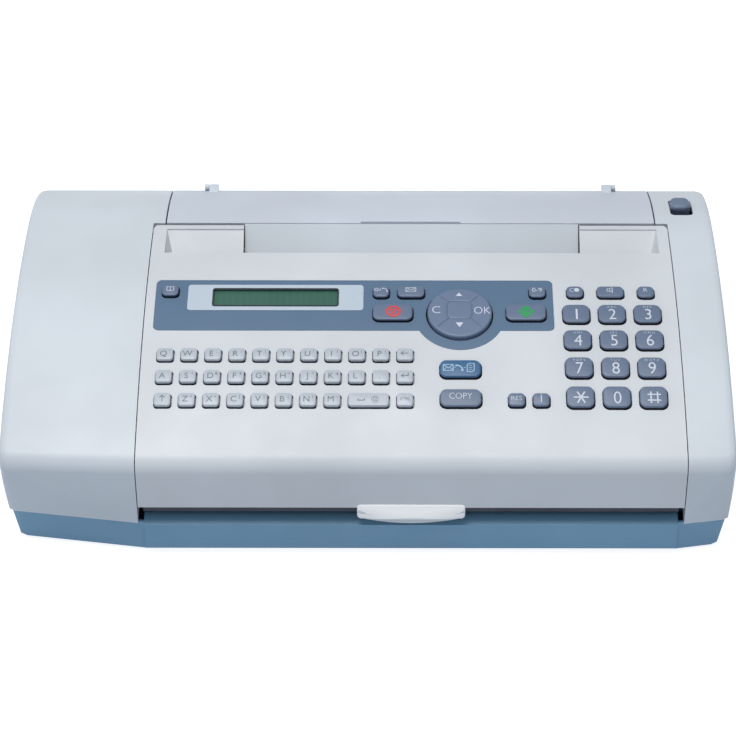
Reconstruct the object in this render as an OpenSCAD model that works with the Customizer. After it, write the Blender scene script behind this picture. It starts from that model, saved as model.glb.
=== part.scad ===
// Plain-paper inkjet fax machine with a hinged operator panel.
// Right-handed frame in millimetres: +X to the operator's right, +Y to the back, +Z up.
// The origin is under the middle of the body, on the surface that the feet stand on.

/* [Body] */
// Overall width of the body
body_w = 440; // [430:1:450]
// Overall depth of the body
body_d = 256; // [252:1:262]
// Height of the crown above the table
body_h = 106; // [105:0.5:110]
// Height of the rubber feet
foot_h = 3; // [2:0.5:5]
// Wall of the moulded shells
wall = 2.5; // [2:0.1:3]
// Visible gap between neighbouring shells
seam = 0.4; // [0.3:0.1:0.8]
// Top edge of the lower housing
rim_z = 26; // [24:0.5:27]
// Draft of each pod's side, from its widest line down to the housing
side_draft = 2; // [1:0.5:4]
// Further draft of the lower housing's sides
base_draft = 4; // [2:0.5:6]

/* [Cross-section] */
// Radius of the long top curve
top_r = 420; // [410:5:440]
// Distance of the crown behind the middle
crown_y = 42.5; // [40:0.5:45]
// Radius of the curve over the paper flap
rear_r = 137; // [130:1:145]
// Distance behind the middle where the two top curves meet
blend_y = 65; // [64:0.5:67]
// Radius of the front shoulder
shoulder_r = 12; // [11.5:0.5:15]
// Lean of the front face from the vertical, degrees
front_lean = 4.5; // [3:0.5:7]
// Radius of the rear top edge
rear_edge_r = 6; // [5:0.5:8]

/* [Operator panel lid] */
// Left edge of the lid
lid_x0 = -138.5; // [-140:0.5:-137]
// Right edge of the lid
lid_x1 = 190.5; // [188:0.5:191]
// Rear edge of the lid
lid_y1 = 64.8; // [64:0.1:65]
// Height of the lid's front bottom edge
lid_z0 = 39; // [37:0.5:42]
// Plan radius of the lid's rear corners
lid_corner_r = 5; // [4:0.5:8]
// Depth of the stiffening rib round the lid's ends
rib_depth = 11; // [8:0.5:11]
// Radius of the lid's hinge pins
hinge_r = 2; // [1.5:0.1:2.5]
// Distance of the lid hinge from the lid's rear edge
hinge_in = 3.8; // [3.5:0.1:5]
// Depth of the lid hinge under the top curve
hinge_depth = 4; // [3.5:0.1:5]
// Width of the pull tab
tab_w = 64; // [50:1:80]
// Reach of the pull tab in front of the lid
tab_reach = 4.5; // [3:0.5:5]
// Drop of the pull tab below the lid's edge
tab_drop = 8.5; // [6:0.5:10]
// Bow of the pull tab's front edge and bottom edge
tab_bow = 2.4; // [1:0.2:4]

/* [Document slot] */
// Width of the slot for letter and A4 originals
slot_w = 215; // [210:0.5:216]
// Left side of the slot
slot_x0 = -80.8; // [-84:0.1:-78]
// Front edge of the slot
slot_y0 = 34.8; // [34:0.2:38]
// Reach of the outer pockets beside the slot
pocket_w = 49; // [40:0.5:49]
// Rim left behind the outer pockets
pocket_rim = 5; // [4.8:0.1:7]
// Depth of the outer pockets
pocket_depth = 12; // [8:0.5:13]

/* [Keys] */
// Slope of the key board, degrees
panel_tilt = 12; // [11.5:0.1:12.5]
// Depth of the key board under the top curve
panel_depth = 10; // [9:0.5:11]
// Travel of every key
key_travel = 1.5; // [0.8:0.1:1.6]
// Gap between a key and the edge of its hole
key_gap = 0.4; // [0.3:0.05:0.6]
// Height of the key tops over the panel
key_proud = 2.4; // [1.5:0.1:3]
// Width of the flange that holds a key under the panel
key_flange = 0.9; // [0.6:0.1:1]
// Width of a number key
num_w = 17; // [14:0.5:18]
// Depth of a number key
num_d = 15; // [13:0.5:16]
// Column pitch of the number keys
num_pitch_x = 22; // [21.5:0.5:24]
// Row pitch of the number keys
num_pitch_y = 20.5; // [19.5:0.5:21]
// Corner radius of a number key
num_r = 4; // [2:0.5:5]
// Width of a letter key
let_w = 10.4; // [9:0.2:11]
// Depth of a letter key
let_d = 9.4; // [8:0.2:10]
// Column pitch of the letter keys
let_pitch_x = 14.6; // [14:0.1:15]
// Row pitch of the letter keys
let_pitch_y = 15.9; // [15:0.1:16.5]
// Corner radius of a letter key
let_r = 2; // [1:0.25:3]
// Width of a small key
small_w = 10.6; // [9:0.2:11.4]
// Depth of a small key
small_d = 9.8; // [9:0.2:11]
// Diameter of the round navigator key
nav_d = 41; // [38:0.5:42]

/* [Display] */
// Width of the display's light frame
bezel_w = 109; // [100:1:112]
// Depth of the display's light frame
bezel_d = 21.8; // [20:0.2:23]
// Width of the display window
lcd_w = 77.6; // [70:0.2:84]
// Depth of the display window
lcd_d = 14.6; // [12:0.2:16]

/* [Print engine] */
// Radius of the carriage rod
rod_r = 3; // [2.5:0.1:4]
// Width of the ink carriage
carriage_w = 52; // [44:1:56]
// Free travel of the ink carriage
carriage_travel = 318; // [280:2:320]
// Radius of the paper feed roller and the exit roller
feed_r = 7; // [6:0.5:8]
// Module of the feed gears
gear_module = 1; // [0.8:0.1:1]
// Teeth of the feed and exit gears
gear_teeth = 34; // [32:1:36]
// Teeth of the motor pinion
pinion_teeth = 18; // [16:1:20]
// Radius of the sheet pick-up roller
pick_r = 10; // [8:0.5:11]
// Radius of the document roller
doc_r = 6; // [5:0.25:6.5]
// Radius of the carriage belt pulleys
pulley_r = 5; // [4:0.25:6]

/* [Hidden] */
NUM_NODES = [for (i = [1:9]) str("key_", i)];

eps = 0.01;
clear = 0.3;               // gap between pieces that don't touch
run = 0.05;                // radial gap of a shaft in its bearing
round_fn = 96;             // facets shown on round pieces
big_fn = 256;              // facets shown on the long curves
far = 300;                 // reach of a cutting block

// ---- cross-section of the outer shells, in the Y-Z plane -------------------
front_y = -body_d / 2;
back_y = body_d / 2;
top_c = [crown_y, body_h - top_r];
blend_a = asin((blend_y - crown_y) / top_r);
rear_c = top_c + (top_r - rear_r) * [sin(blend_a), cos(blend_a)];
edge_y = back_y - rear_edge_r;
edge_c = [edge_y, rear_c[1] + sqrt(pow(rear_r - rear_edge_r, 2) - pow(edge_y - rear_c[0], 2))];
edge_a = acos((edge_y - rear_c[0]) / (rear_r - rear_edge_r));
lean_d = [sin(front_lean), cos(front_lean)];
lean_n = [cos(front_lean), -sin(front_lean)];

function top_z(y, inset = 0) = top_c[1] + sqrt(pow(top_r - inset, 2) - pow(y - top_c[0], 2));
function arc(c, r, a0, a1, n) =
  [for (i = [0:n]) let (a = a0 + (a1 - a0) * i / n) c + r * [cos(a), sin(a)]];

// Centre of the shoulder curve, tangent to a front face that starts at [f, lid_z0].
function shoulder_c(f) =
  let (a = [f, lid_z0] + shoulder_r * lean_n - top_c, k = a * lean_d)
  top_c + a + lean_d * (sqrt(k * k - a * a + pow(top_r - shoulder_r, 2)) - k);
function shoulder_a(f) = let (v = shoulder_c(f) - top_c) atan2(v[1], v[0]);
function front_at(f, z, inset) = let (p = [f, lid_z0] + inset * lean_n)
  p + lean_d * (z - p[1]) / lean_d[1];

// Angle at which a line from p touches the front of a circle.
function touch_a(p, c, r) = let (v = p - c) atan2(v[1], v[0]) + 360 - acos(r / norm(v));

// Closed outline from the front bottom edge, over the top and down the back. The bottom edge
// is drawn back by tuck.
function section_points(f, b, z0, inset, tuck = 0) =
  let (foot = front_at(f, z0, inset) + [tuck, 0]) [
  for (p = concat(
    [foot],
    arc(shoulder_c(f), shoulder_r - inset, touch_a(foot, shoulder_c(f), shoulder_r - inset),
        shoulder_a(f), 8),
    arc(top_c, top_r - inset, shoulder_a(f), 90 - blend_a, 22),
    arc(rear_c, rear_r - inset, 90 - blend_a, edge_a, 9),
    arc(edge_c, max(rear_edge_r - inset, eps), edge_a, 0, 4),
    [[back_y - inset, z0]])) [min(p[0], b), p[1]]];

// Stands an outline drawn in Y-Z upright, running from x0 to x1.
module along_x(x0, x1) {
  translate([x0, 0, 0]) rotate([90, 0, 90]) linear_extrude(x1 - x0) children();
}

module rod_x(r, x0, x1, y, z, fn = round_fn) {
  translate([x0, y, z]) rotate([0, 90, 0]) cylinder(r = r, h = x1 - x0, $fn = fn);
}

module box(a, b) {
  translate(a) cube(b - a);
}

module rounded(w, d, r) {
  union() {
    square([w - 2 * r, d], center = true);
    square([w, d - 2 * r], center = true);
    for (x = [-1, 1], y = [-1, 1])
      translate([x * (w / 2 - r), y * (d / 2 - r)]) circle(r, $fn = 32);
  }
}

// Everything under the long top curve, drawn down by inset.
module under_top(inset) {
  rod_x(top_r - inset, -far, far, top_c[0], top_c[1], big_fn);
}

// ---- pods and housing ------------------------------------------------------
half_w = body_w / 2;
pod_split_y = lid_y1 + 1.5;          // behind this line the pods reach in to the flap
flap_gap = 0.5;
pod_step = 7.5;
left_kink = 135;                     // distance from the middle to the bend in the front
right_kink = 188;
left_sweep = 12;                     // how far the left pod's front falls back at its foot
right_sweep = 5;
shoulder_share = 0.2;                // share of the sweep that the shoulder takes
rear_corner_r = 10;
front_corner_r = 6;
pod_edge_r = 3;                      // rounding between top and side of a pod
side_z = 62;                         // height of the widest line
window_z = [62, 80];                 // tops of the openings in a pod's inner wall
slice_t = 0.05;

// Plan line of the front, which falls back by sweep from the kink to the side.
function pod_front(x, kink, sweep) =
  front_y + sweep * max(0, abs(x) - kink) / (half_w - kink);
function corner_in(r, d) = d >= r ? 0 : r - sqrt(r * r - pow(r - d, 2));
// Width lost to the draft at height z.
function draft_at(z) = side_draft * max(0, side_z - z) / (side_z - rim_z);

// Slices of a pod's outer surface; their hull is the smooth pod.
module pod_slice(x, kink, sweep, inset, z0) {
  d = half_w - x;
  top_in = inset + corner_in(pod_edge_r, d);
  swept = pod_front(x, kink, sweep) - front_y;
  f = front_y + shoulder_share * swept + corner_in(front_corner_r, d) + inset - top_in;
  b = back_y - corner_in(rear_corner_r, d) - inset;
  tuck = (1 - shoulder_share) * swept * max(0, side_z - z0) / (side_z - rim_z);
  along_x(x - slice_t, x) polygon(section_points(f, b, z0, top_in, tuck));
}

module pod_hull(x_in, kink, sweep, inset) {
  z_low = rim_z + clear - (inset > 0 ? 1 : 0);
  w = half_w - inset;
  hull() {
    pod_slice(x_in + inset + slice_t, kink, sweep, inset, z_low);
    pod_slice(w - rear_corner_r, kink, sweep, inset, z_low);
    pod_slice(w - rear_corner_r / 2, kink, sweep, inset, z_low);
    pod_slice(w - draft_at(z_low), kink, sweep, inset, z_low);
    pod_slice(w - 1, kink, sweep, inset, side_z - 22);
    pod_slice(w - 0.4, kink, sweep, inset, side_z - 12);
    pod_slice(w, kink, sweep, inset, side_z - 5);
  }
}

// A right-hand pod: an outer shell, an inner wall with a window for the print engine,
// and the strip that reaches in to the flap behind the lid.
module pod(x_seam, kink, sweep) {
  x_in = x_seam + seam;
  x_flap = x_seam - pod_step + flap_gap;
  difference() {
    union() {
      pod_hull(x_in, kink, sweep, 0);
      intersection() {
        along_x(x_flap, x_in + 1) polygon(section_points(front_y, back_y, rim_z + clear, 0));
        box([-far, pod_split_y, 0], [far, far, far]);
      }
    }
    pod_hull(x_in, kink, sweep, wall);
    box([x_flap + wall, pod_split_y + wall, 0], [x_in + 2 * wall, back_y - wall, window_z[1]]);
    box([x_in - 1, -88, 0], [x_in + wall + 1, -20, window_z[1]]);
    box([x_in - 1, -110, 0], [x_in + wall + 1, back_y - 12, window_z[0]]);
  }
}

hinge_y = lid_y1 - hinge_in;
hinge_z = top_z(hinge_y) - hinge_depth;
swing_r = hinge_in + 1.1;            // reach of the lid's rear edge as it swings

module left_cover() {
  color("gainsboro") {
    mirror([1, 0, 0]) pod(-lid_x0, left_kink, left_sweep);
    rod_x(hinge_r, lid_x0 - seam - wall, lid_x0 + wall, hinge_y, hinge_z);
  }
}

lever_x = 201.5;
lever_y = 88.5;
lever_w = 13;
lever_slot = [14.6, 23];
lever_shield = [12.4, 13.8];          // radii of the shield under the lever's head
lever_pivot_z = 84;
lever_pin_r = 2;
lever_ear = [210.6, 212.6];

module right_cover() {
  color("gainsboro") {
    difference() {
      pod(lid_x1, right_kink, right_sweep);
      translate([lever_x, lever_y, 60]) linear_extrude(60) rounded(lever_slot[0], lever_slot[1], 3);
      rod_x(lever_pin_r + run, lid_x1 - 8, lever_x, lever_y, lever_pivot_z);
    }
    rod_x(hinge_r, lid_x1 - wall, lid_x1 + seam + wall, hinge_y, hinge_z);
    lever_bracket();
  }
}

// An ear under the pod's skin carries the outer end of the paper lever's pin.
module lever_bracket() {
  difference() {
    box([lever_ear[0], lever_y - 5, lever_pivot_z - 5],
        [lever_ear[1], lever_y + 5, lever_pivot_z + 16]);
    rod_x(lever_pin_r + run, lever_ear[0] - 1, lever_ear[1] + 1, lever_y, lever_pivot_z);
  }
}

// ---- lower housing ---------------------------------------------------------
floor_t = 2.5;
floor_z = foot_h + floor_t;
lip_z = 24.5;                        // top of the housing's front face
lip_top = [front_y + 6, 27.6];       // crest of the front lip
deck_back = [-94, 32.5];             // rear edge of the sheet exit deck
deck_t = 2;
deck_x = [-130, 177];
lip_x0 = lid_x0 + 3;
lip_x1 = lid_x1 - 3;
base_inset = 0.5;                    // the housing stands in a little under the pods

function base_outline(i) = let (w = half_w - i, b = back_y - i * 0.3 - 0.5, r = rear_corner_r) concat(
  [[-left_kink, front_y + i * 0.3], [right_kink, front_y + i * 0.3]],
  [[w - 4, pod_front(w - 4, right_kink, right_sweep) + i * 0.3 + 0.3],
   [w, pod_front(w, right_kink, right_sweep) + 4]],
  arc([w - r, b - r], r, 0, 90, 5),
  arc([r - w, b - r], r, 90, 180, 5),
  [[-w, pod_front(w, left_kink, left_sweep) + 4],
   [4 - w, pod_front(w - 4, left_kink, left_sweep) + i * 0.3 + 0.3]]);

boss_spots = [[-118, 46], [58, 46], [-118, 108], [58, 108],
              [-200, 36], [-152, 36], [-200, 112], [-152, 112]];
boss_r = 3;
board_z = floor_z + 4;
inlet_x = -176;
inlet_w = 26;
inlet_z = [9, 24];
jack_x = [-96, -78];
jack_w = 13;
jack_z = [board_z + 1.6, board_z + 13.6];

module base_tray() {
  high = draft_at(rim_z) + base_inset;
  low = high + base_draft;
  color("slategray") {
    difference() {
      hull() {
        translate([0, 0, foot_h]) linear_extrude(eps) polygon(base_outline(low));
        translate([0, 0, rim_z - eps]) linear_extrude(eps) polygon(base_outline(high));
      }
      translate([0, 0, floor_z]) linear_extrude(far) polygon(base_outline(low + wall));
      box([lip_x0, front_y - 5, lip_z], [lip_x1, front_y + wall + 6, rim_z + 1]);
      box([inlet_x - inlet_w / 2, back_y - 12, inlet_z[0]],
          [inlet_x + inlet_w / 2, back_y + 5, inlet_z[1]]);
      for (x = jack_x)
        box([x - jack_w / 2, back_y - 12, jack_z[0]], [x + jack_w / 2, back_y + 5, jack_z[1]]);
    }
    exit_deck();
    for (p = boss_spots) translate([p[0], p[1], floor_z - eps]) cylinder(r = boss_r, h = 4, $fn = 32);
  }
}

// Front lip and the deck that the sheets slide out over.
module exit_deck() {
  along_x(lip_x0, lip_x1) polygon([
    [front_y, floor_z], [front_y, lip_z], lip_top, lip_top + [wall, 0],
    lip_top + [wall, -deck_t], [lip_top[0] - 2, lip_z - 2],
    [front_y + wall, lip_z - 3], [front_y + wall, floor_z]]);
  along_x(deck_x[0], deck_x[1]) polygon([
    lip_top + [1, 0], deck_back, deck_back - [0, deck_t], lip_top + [1, -deck_t]]);
  for (x = [-120, -40, 60, 170])
    along_x(x, x + 2) polygon([[lip_top[0] + 3, floor_z - eps], lip_top + [4, -deck_t + eps],
                               deck_back + [0, eps - deck_t], [deck_back[0], floor_z - eps]]);
}

module feet() {
  color("dimgray") for (p = [[-180, -104], [196, -108], [-196, 108], [196, 108]])
    translate([p[0], p[1], 0]) cylinder(r = 7, h = foot_h, $fn = 48);
}

// ---- operator panel lid ----------------------------------------------------
tab_x = (lid_x0 + lid_x1) / 2;
lx0 = lid_x0 + seam / 2;
lx1 = lid_x1 - seam / 2;
slot_x1 = slot_x0 + slot_w;

// Cross-section of the lid, its surface drawn in by inset.
module lid_section(inset) {
  sc = shoulder_c(front_y);
  a1 = shoulder_a(front_y);
  intersection() {
    translate(top_c) circle(r = top_r - inset, $fn = big_fn);
    polygon(concat(
      [front_at(front_y, lid_z0, inset)],
      arc(sc, shoulder_r - inset, 180 - front_lean, a1, 10),
      [sc + far * [cos(a1), sin(a1)], [lid_y1 + 1, far], [lid_y1 + 1, lid_z0]]));
  }
}

module lid_plan(g) {
  difference() {
    translate([lx0 + g, front_y - 20]) square([lx1 - lx0 - 2 * g, lid_y1 - front_y + 20 - g]);
    for (s = [0, 1]) translate([s ? lx1 - g : lx0 + g, lid_y1 - g]) mirror([s, 0]) difference() {
      translate([-1, -lid_corner_r]) square([lid_corner_r + 1, lid_corner_r + 1]);
      translate([lid_corner_r, -lid_corner_r]) circle(lid_corner_r, $fn = 64);
    }
  }
}

module lid_shell() {
  difference() {
    intersection() {
      along_x(lx0, lx1) lid_section(0);
      linear_extrude(far) lid_plan(0);
    }
    intersection() {
      along_x(lx0 + wall, lx1 - wall) lid_section(wall);
      translate([0, 0, -1]) linear_extrude(far) lid_plan(wall);
    }
    // below the stiffening rib the lid's ends and back stay open
    intersection() {
      along_x(-far, far) lid_section(rib_depth);
      box([-far, front_y + wall + 2, 0], [far, far, far]);
    }
    box([-far, -118, 0], [far, far, lid_z0 + 12]);
    // rear top edge rounded about the hinge, so that it swings clear of the flap
    difference() {
      box([-far, hinge_y + 1, hinge_z], [far, far, far]);
      rod_x(swing_r, -far, far, hinge_y, hinge_z);
    }
  }
}

pocket_y1 = lid_y1 - pocket_rim;
pocket_end = 7;                      // slope of a pocket's outer end
// Outline of a pocket, or of the trough under it when grown by g.
module pocket_outline(g) {
  z = top_z(slot_y0);
  polygon([[slot_y0 - g, z + 2], [pocket_y1 + g, z + 2],
           [pocket_y1 + g, top_z(pocket_y1) - 1 - g], [slot_y0 + 8 + g / 2, z - pocket_depth - g],
           [slot_y0 - g, z - pocket_depth - g]]);
}

module pocket_cut(s, x_in, x_out) {
  intersection() {
    along_x(min(x_in, x_out), max(x_in, x_out)) pocket_outline(0);
    translate([0, far, 0]) rotate([90, 0, 0]) linear_extrude(2 * far)
      polygon([[x_in - s, body_h + 5], [x_out, body_h + 5], [x_out, top_z(slot_y0) - 1],
               [x_out - s * pocket_end, top_z(slot_y0) - pocket_depth - 5],
               [x_in - s, top_z(slot_y0) - pocket_depth - 5]]);
  }
}

module lid_pockets_body() {
  for (s = [-1, 1]) {
    x_in = s < 0 ? slot_x0 : slot_x1;
    x_out = x_in + s * (pocket_w + 2);
    intersection() {
      along_x(min(x_in, x_out), max(x_in, x_out)) pocket_outline(2);
      under_top(wall / 2);
    }
  }
}

// The lid's own side of the slot: a lip that turns down into the chute.
module slot_lip() {
  z = top_z(slot_y0);
  along_x(slot_x0 - 2, slot_x1 + 2) polygon([[slot_y0 - 2, z - 1], [slot_y0, z - 1],
    [slot_y0 + 3, z - 18], [slot_y0 + 1, z - 18]]);
}

// Flared tab under the middle of the lid's front edge: a sloping strip, trimmed in plan and
// from the front by two long curves.
module pull_tab() {
  bow_r = (pow(tab_w / 2, 2) + pow(tab_bow, 2)) / (2 * tab_bow);
  reach_y = front_y - tab_reach;
  low_z = lid_z0 - tab_drop;
  intersection() {
    along_x(tab_x - tab_w / 2, tab_x + tab_w / 2) polygon([
      [front_y + wall, lid_z0 + 2], [front_y + eps, lid_z0 + 2], [reach_y, low_z + 3],
      [reach_y, low_z], [reach_y + wall, low_z], [front_y + 0.3, lid_z0 - wall],
      [front_y + wall, lid_z0 - 1]]);
    translate([tab_x, reach_y + bow_r, 0]) cylinder(r = bow_r, h = far, $fn = big_fn);
    translate([tab_x, front_y + far / 2, low_z + bow_r]) rotate([90, 0, 0])
      cylinder(r = bow_r, h = far, $fn = big_fn);
  }
}

board_boss_spots = [[-132.6, -40], [-132.6, 46], [75, -46], [82, 2], [184.6, -46], [184.6, 46]];
board_boss_r = 2.2;

module panel_lid() {
  color("whitesmoke") difference() {
    union() {
      difference() {
        union() {
          lid_shell();
          lid_pockets_body();
        }
        // notch of the slot
        box([slot_x0, slot_y0, 60], [slot_x1, far, far]);
        for (s = [-1, 1]) pocket_cut(s, s < 0 ? slot_x0 : slot_x1,
                                     (s < 0 ? slot_x0 : slot_x1) + s * pocket_w);
      }
      slot_lip();
      pull_tab();
      intersection() {
        on_panel() for (p = board_boss_spots)
          translate([p[0], p[1], clear / 2]) cylinder(r = board_boss_r, h = 20, $fn = 32);
        under_top(wall / 2);
      }
    }
    key_holes();
    overlay_recess();
    for (x = [lx0 - 1, lx1 - wall - 1])
      rod_x(hinge_r + run, x, x + wall + 2, hinge_y, hinge_z);
  }
}

// ---- operator panel --------------------------------------------------------
panel_y0 = (2 * front_y + 169) / 2;
panel_z0 = top_z(panel_y0) - panel_depth;
hole_gap = key_gap;

module on_panel() {
  translate([0, panel_y0, panel_z0]) rotate([panel_tilt, 0, 0]) children();
}
// Position along the sloping board of a point on the top curve.
function up(y) = (y - panel_y0) * cos(panel_tilt) + (top_z(y) - panel_z0) * sin(panel_tilt);

nav_x = 56;
nav_y = -21;
num_x = [for (i = [-1:1]) nav_x + 94 + i * num_pitch_x];
num_y = [for (i = [0:3]) -21.5 - i * num_pitch_y];
let_x0 = -123.6;
let_y = [for (i = [0:2]) -53.4 - i * let_pitch_y];
small_y = -3.2;
side_dx = 41.1;                      // stop and start keys, left and right of the navigator
side_w = 24.9;
side_d = 13.4;
wide_w = 25.3;
blue_y = -63.6;
copy_y = -83.8;

// Every single key but the letters: name, x, y, width, depth, corner radius.
SMALL = [
  ["contrast", num_x[0], small_y, small_w, small_d, 3],
  ["speaker", num_x[1], small_y, num_w, small_d, 3],
  ["flash", num_x[2], small_y, small_w, small_d, 3],
  ["phonebook", -123.3, small_y + 1, small_w, small_d, 3],
  ["hook", nav_x - 48.3, small_y, small_w - 0.4, small_d, 3],
  ["mail", nav_x - 29.8, small_y, num_w, small_d, 3],
  ["speed_dial", nav_x + 48.6, small_y, small_w, small_d, 3],
  ["stop", nav_x - side_dx, nav_y + 0.6, side_w, side_d, 4],
  ["start", nav_x + side_dx, nav_y + 0.6, side_w, side_d, 4],
  ["message", nav_x, blue_y, wide_w, 12.8, 4],
  ["copy", nav_x, copy_y, wide_w, 12.4, 4],
  ["resolution", nav_x + 33.6, copy_y - 1.2, small_w - 0.2, small_d - 0.4, 2.5],
  ["info", nav_x + 48.4, copy_y - 1.2, small_w - 0.2, small_d - 0.4, 2.5]];
NUMBERS = [for (r = [0:3], c = [0:2]) [num_x[c], num_y[r]]];
function small(name) = [for (k = SMALL) if (k[0] == name) k][0];

// Letter keys: column and width in columns.
function letter_cells(row) = row < 2 ? [for (c = [0:10]) [c, 1]]
  : concat([for (c = [0:7]) [c, 1]], [[8.5, 2], [10, 1]]);
function letter_x(c) = let_x0 + c * let_pitch_x;
function letter_w(n) = let_w + (n - 1) * let_pitch_x;

module key_prism(x, y, w, d, r, g, z0, h) {
  on_panel() translate([x, up(y), z0]) linear_extrude(h)
    rounded(w + 2 * g, d + 2 * g, r + g);
}

module key_body(x, y, w, d, r) {
  intersection() {
    key_prism(x, y, w, d, r, 0, key_travel + clear, 30);
    under_top(-key_proud);
  }
  intersection() {
    key_prism(x, y, w, d, r, key_flange, key_travel + clear, 30);
    under_top(wall + clear);
  }
}

module key_holes() {
  for (p = NUMBERS) key_prism(p[0], p[1], num_w, num_d, num_r, hole_gap, 0.5, 30);
  for (k = SMALL) key_prism(k[1], k[2], k[3], k[4], k[5], hole_gap, 0.5, 30);
  for (row = [0:2], k = letter_cells(row))
    key_prism(letter_x(k[0]), let_y[row], letter_w(k[1]), let_d, let_r, hole_gap, 0.5, 30);
  nav_hole(hole_gap);
  key_prism(bezel_x, bezel_y, lcd_w + 8, lcd_d + 3, 1, 0, 0.5, 30);
}

module nav_hole(g) {
  on_panel() translate([nav_x, up(nav_y), 0.5]) cylinder(r = nav_d / 2 + g, h = 30, $fn = round_fn);
}

module number_key(i) {
  p = NUMBERS[i];
  color("lightslategray") key_body(p[0], p[1], num_w, num_d, num_r);
}

module small_key(name, c = "lightslategray") {
  k = small(name);
  color(c) key_body(k[1], k[2], k[3], k[4], k[5]);
}

// A row of letter keys on the web that joins them under the panel.
module letter_keys(row) {
  color("lavender") {
    for (k = letter_cells(row)) intersection() {
      key_prism(letter_x(k[0]), let_y[row], letter_w(k[1]), let_d, let_r, 0, key_travel + clear, 30);
      under_top(-key_proud);
    }
    intersection() {
      key_prism(letter_x(5), let_y[row], letter_w(11), let_d, let_r, key_flange,
                key_travel + clear, 30);
      under_top(wall + clear);
    }
  }
}

nav_ball_r = 3;
nav_ball_z = 3.2;
nav_rock = 3;                        // degrees of rock to each side
groove = 0.6;

module nav_disc() {
  color("lightslategray") difference() {
    union() {
      intersection() {
        on_panel() translate([nav_x, up(nav_y), 3.4]) cylinder(r = nav_d / 2 - 0.6, h = 30, $fn = round_fn);
        under_top(-key_proud - 0.4);
      }
    }
    on_panel() translate([nav_x, up(nav_y), 3.4 - eps]) cylinder(r = nav_ball_r + clear, h = 2.6, $fn = 48);
    intersection() {
      on_panel() translate([nav_x, up(nav_y), 0]) for (a = [45:90:315]) rotate([0, 0, a])
        translate([10, -groove / 2, 0]) cube([nav_d, groove, 30]);
      difference() {
        under_top(-key_proud - 1);
        under_top(-key_proud + 0.4);
      }
    }
    intersection() {
      on_panel() translate([nav_x, up(nav_y), 0]) linear_extrude(30) difference() {
        rounded(14, 14, 3);
        rounded(14 - 2 * groove, 14 - 2 * groove, 3 - groove);
      }
      difference() {
        under_top(-key_proud - 1);
        under_top(-key_proud + 0.4);
      }
    }
  }
}

// Post under the navigator that it rocks on.
module nav_pivot() {
  color("dimgray") on_panel() translate([nav_x, up(nav_y), clear]) cylinder(r = nav_ball_r, h = 5, $fn = 48);
}

overlay_t = 0.6;
overlay_x = [-132.5, 114.1];
overlay_y = [-33.8, 8.4];
bulge_r = nav_d / 2 + 7.5;
bezel_x = -58;
bezel_y = -6.8;

module overlay_outline(g) {
  u0 = up(overlay_y[0]);
  u1 = up(overlay_y[1]);
  union() {
    translate([(overlay_x[0] + overlay_x[1]) / 2, (u0 + u1) / 2])
      rounded(overlay_x[1] - overlay_x[0] + 2 * g, u1 - u0 + 2 * g, 3.5 + g);
    intersection() {
      translate([nav_x, up(nav_y)]) circle(bulge_r + g, $fn = round_fn);
      translate([nav_x - 50, u0 - 40]) square([100, 50]);
    }
  }
}

module overlay_recess() {
  difference() {
    on_panel() linear_extrude(30) overlay_outline(0.15);
    under_top(overlay_t + run);
  }
}

module panel_overlay() {
  color("lightsteelblue") difference() {
    intersection() {
      on_panel() linear_extrude(30) overlay_outline(0);
      under_top(0);
    }
    under_top(overlay_t);
    key_holes();
    key_prism(bezel_x, bezel_y, bezel_w, bezel_d, 2, 0.1, 0.5, 30);
  }
}

module display_bezel() {
  color("aliceblue") difference() {
    intersection() {
      key_prism(bezel_x, bezel_y, bezel_w, bezel_d, 2, 0, 0.5, 30);
      under_top(-0.3);
    }
    under_top(overlay_t);
    key_prism(bezel_x, bezel_y, lcd_w, lcd_d, 0.6, 0, 0.5, 30);
  }
}

module display_module() {
  color("darkseagreen") difference() {
    intersection() {
      key_prism(bezel_x, bezel_y, lcd_w + 6, lcd_d + 2, 0.6, 0, clear, 30);
      under_top(1.2);
    }
  }
}

module panel_board() {
  color("seagreen") on_panel() translate([0, 0, -1.6]) difference() {
    linear_extrude(1.6) translate([26.5, 0]) rounded(321, 102, 3);
    for (p = board_boss_spots) translate([p[0], p[1], -1]) cylinder(r = 1.2, h = 4, $fn = 32);
  }
}

// ---- paper tray ------------------------------------------------------------
frame_x = [lid_x0 + pod_step, lid_x1 - pod_step];
flap_y0 = lid_y1 + 1.8;
flap_t = 2;
flap_y1 = back_y - 5.7;
flap_hinge = [back_y - 3.4, 91];     // axis of the flap, in Y-Z
barrel_r = 1.9;
barrel_x = [[-106.8, -100.8], [153, 159]];
post_x = [[-110, -107.1], [159.3, 162.2]];
post_pin_r = 1;
post_pin = 4;
plate_t = 2.5;                       // plates of the rear frame
well_top = [back_y - 1, 80];
well_slope = 32;
well_end_y = 38;
lift_hinge = [112, 77.1];            // axis of the sheet lifting plate
lift_slope = 28;
lift_len = 78;
lift_t = 1.5;
lift_pin_r = 1.5;
pick_c = [44.7, 54.6];
shaft_r = 2.5;
doc_c = [22, 86];
bridge_z = 84.9;

function rear_z(y, inset = 0) = rear_c[1] + sqrt(pow(rear_r - inset, 2) - pow(y - rear_c[0], 2));

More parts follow.
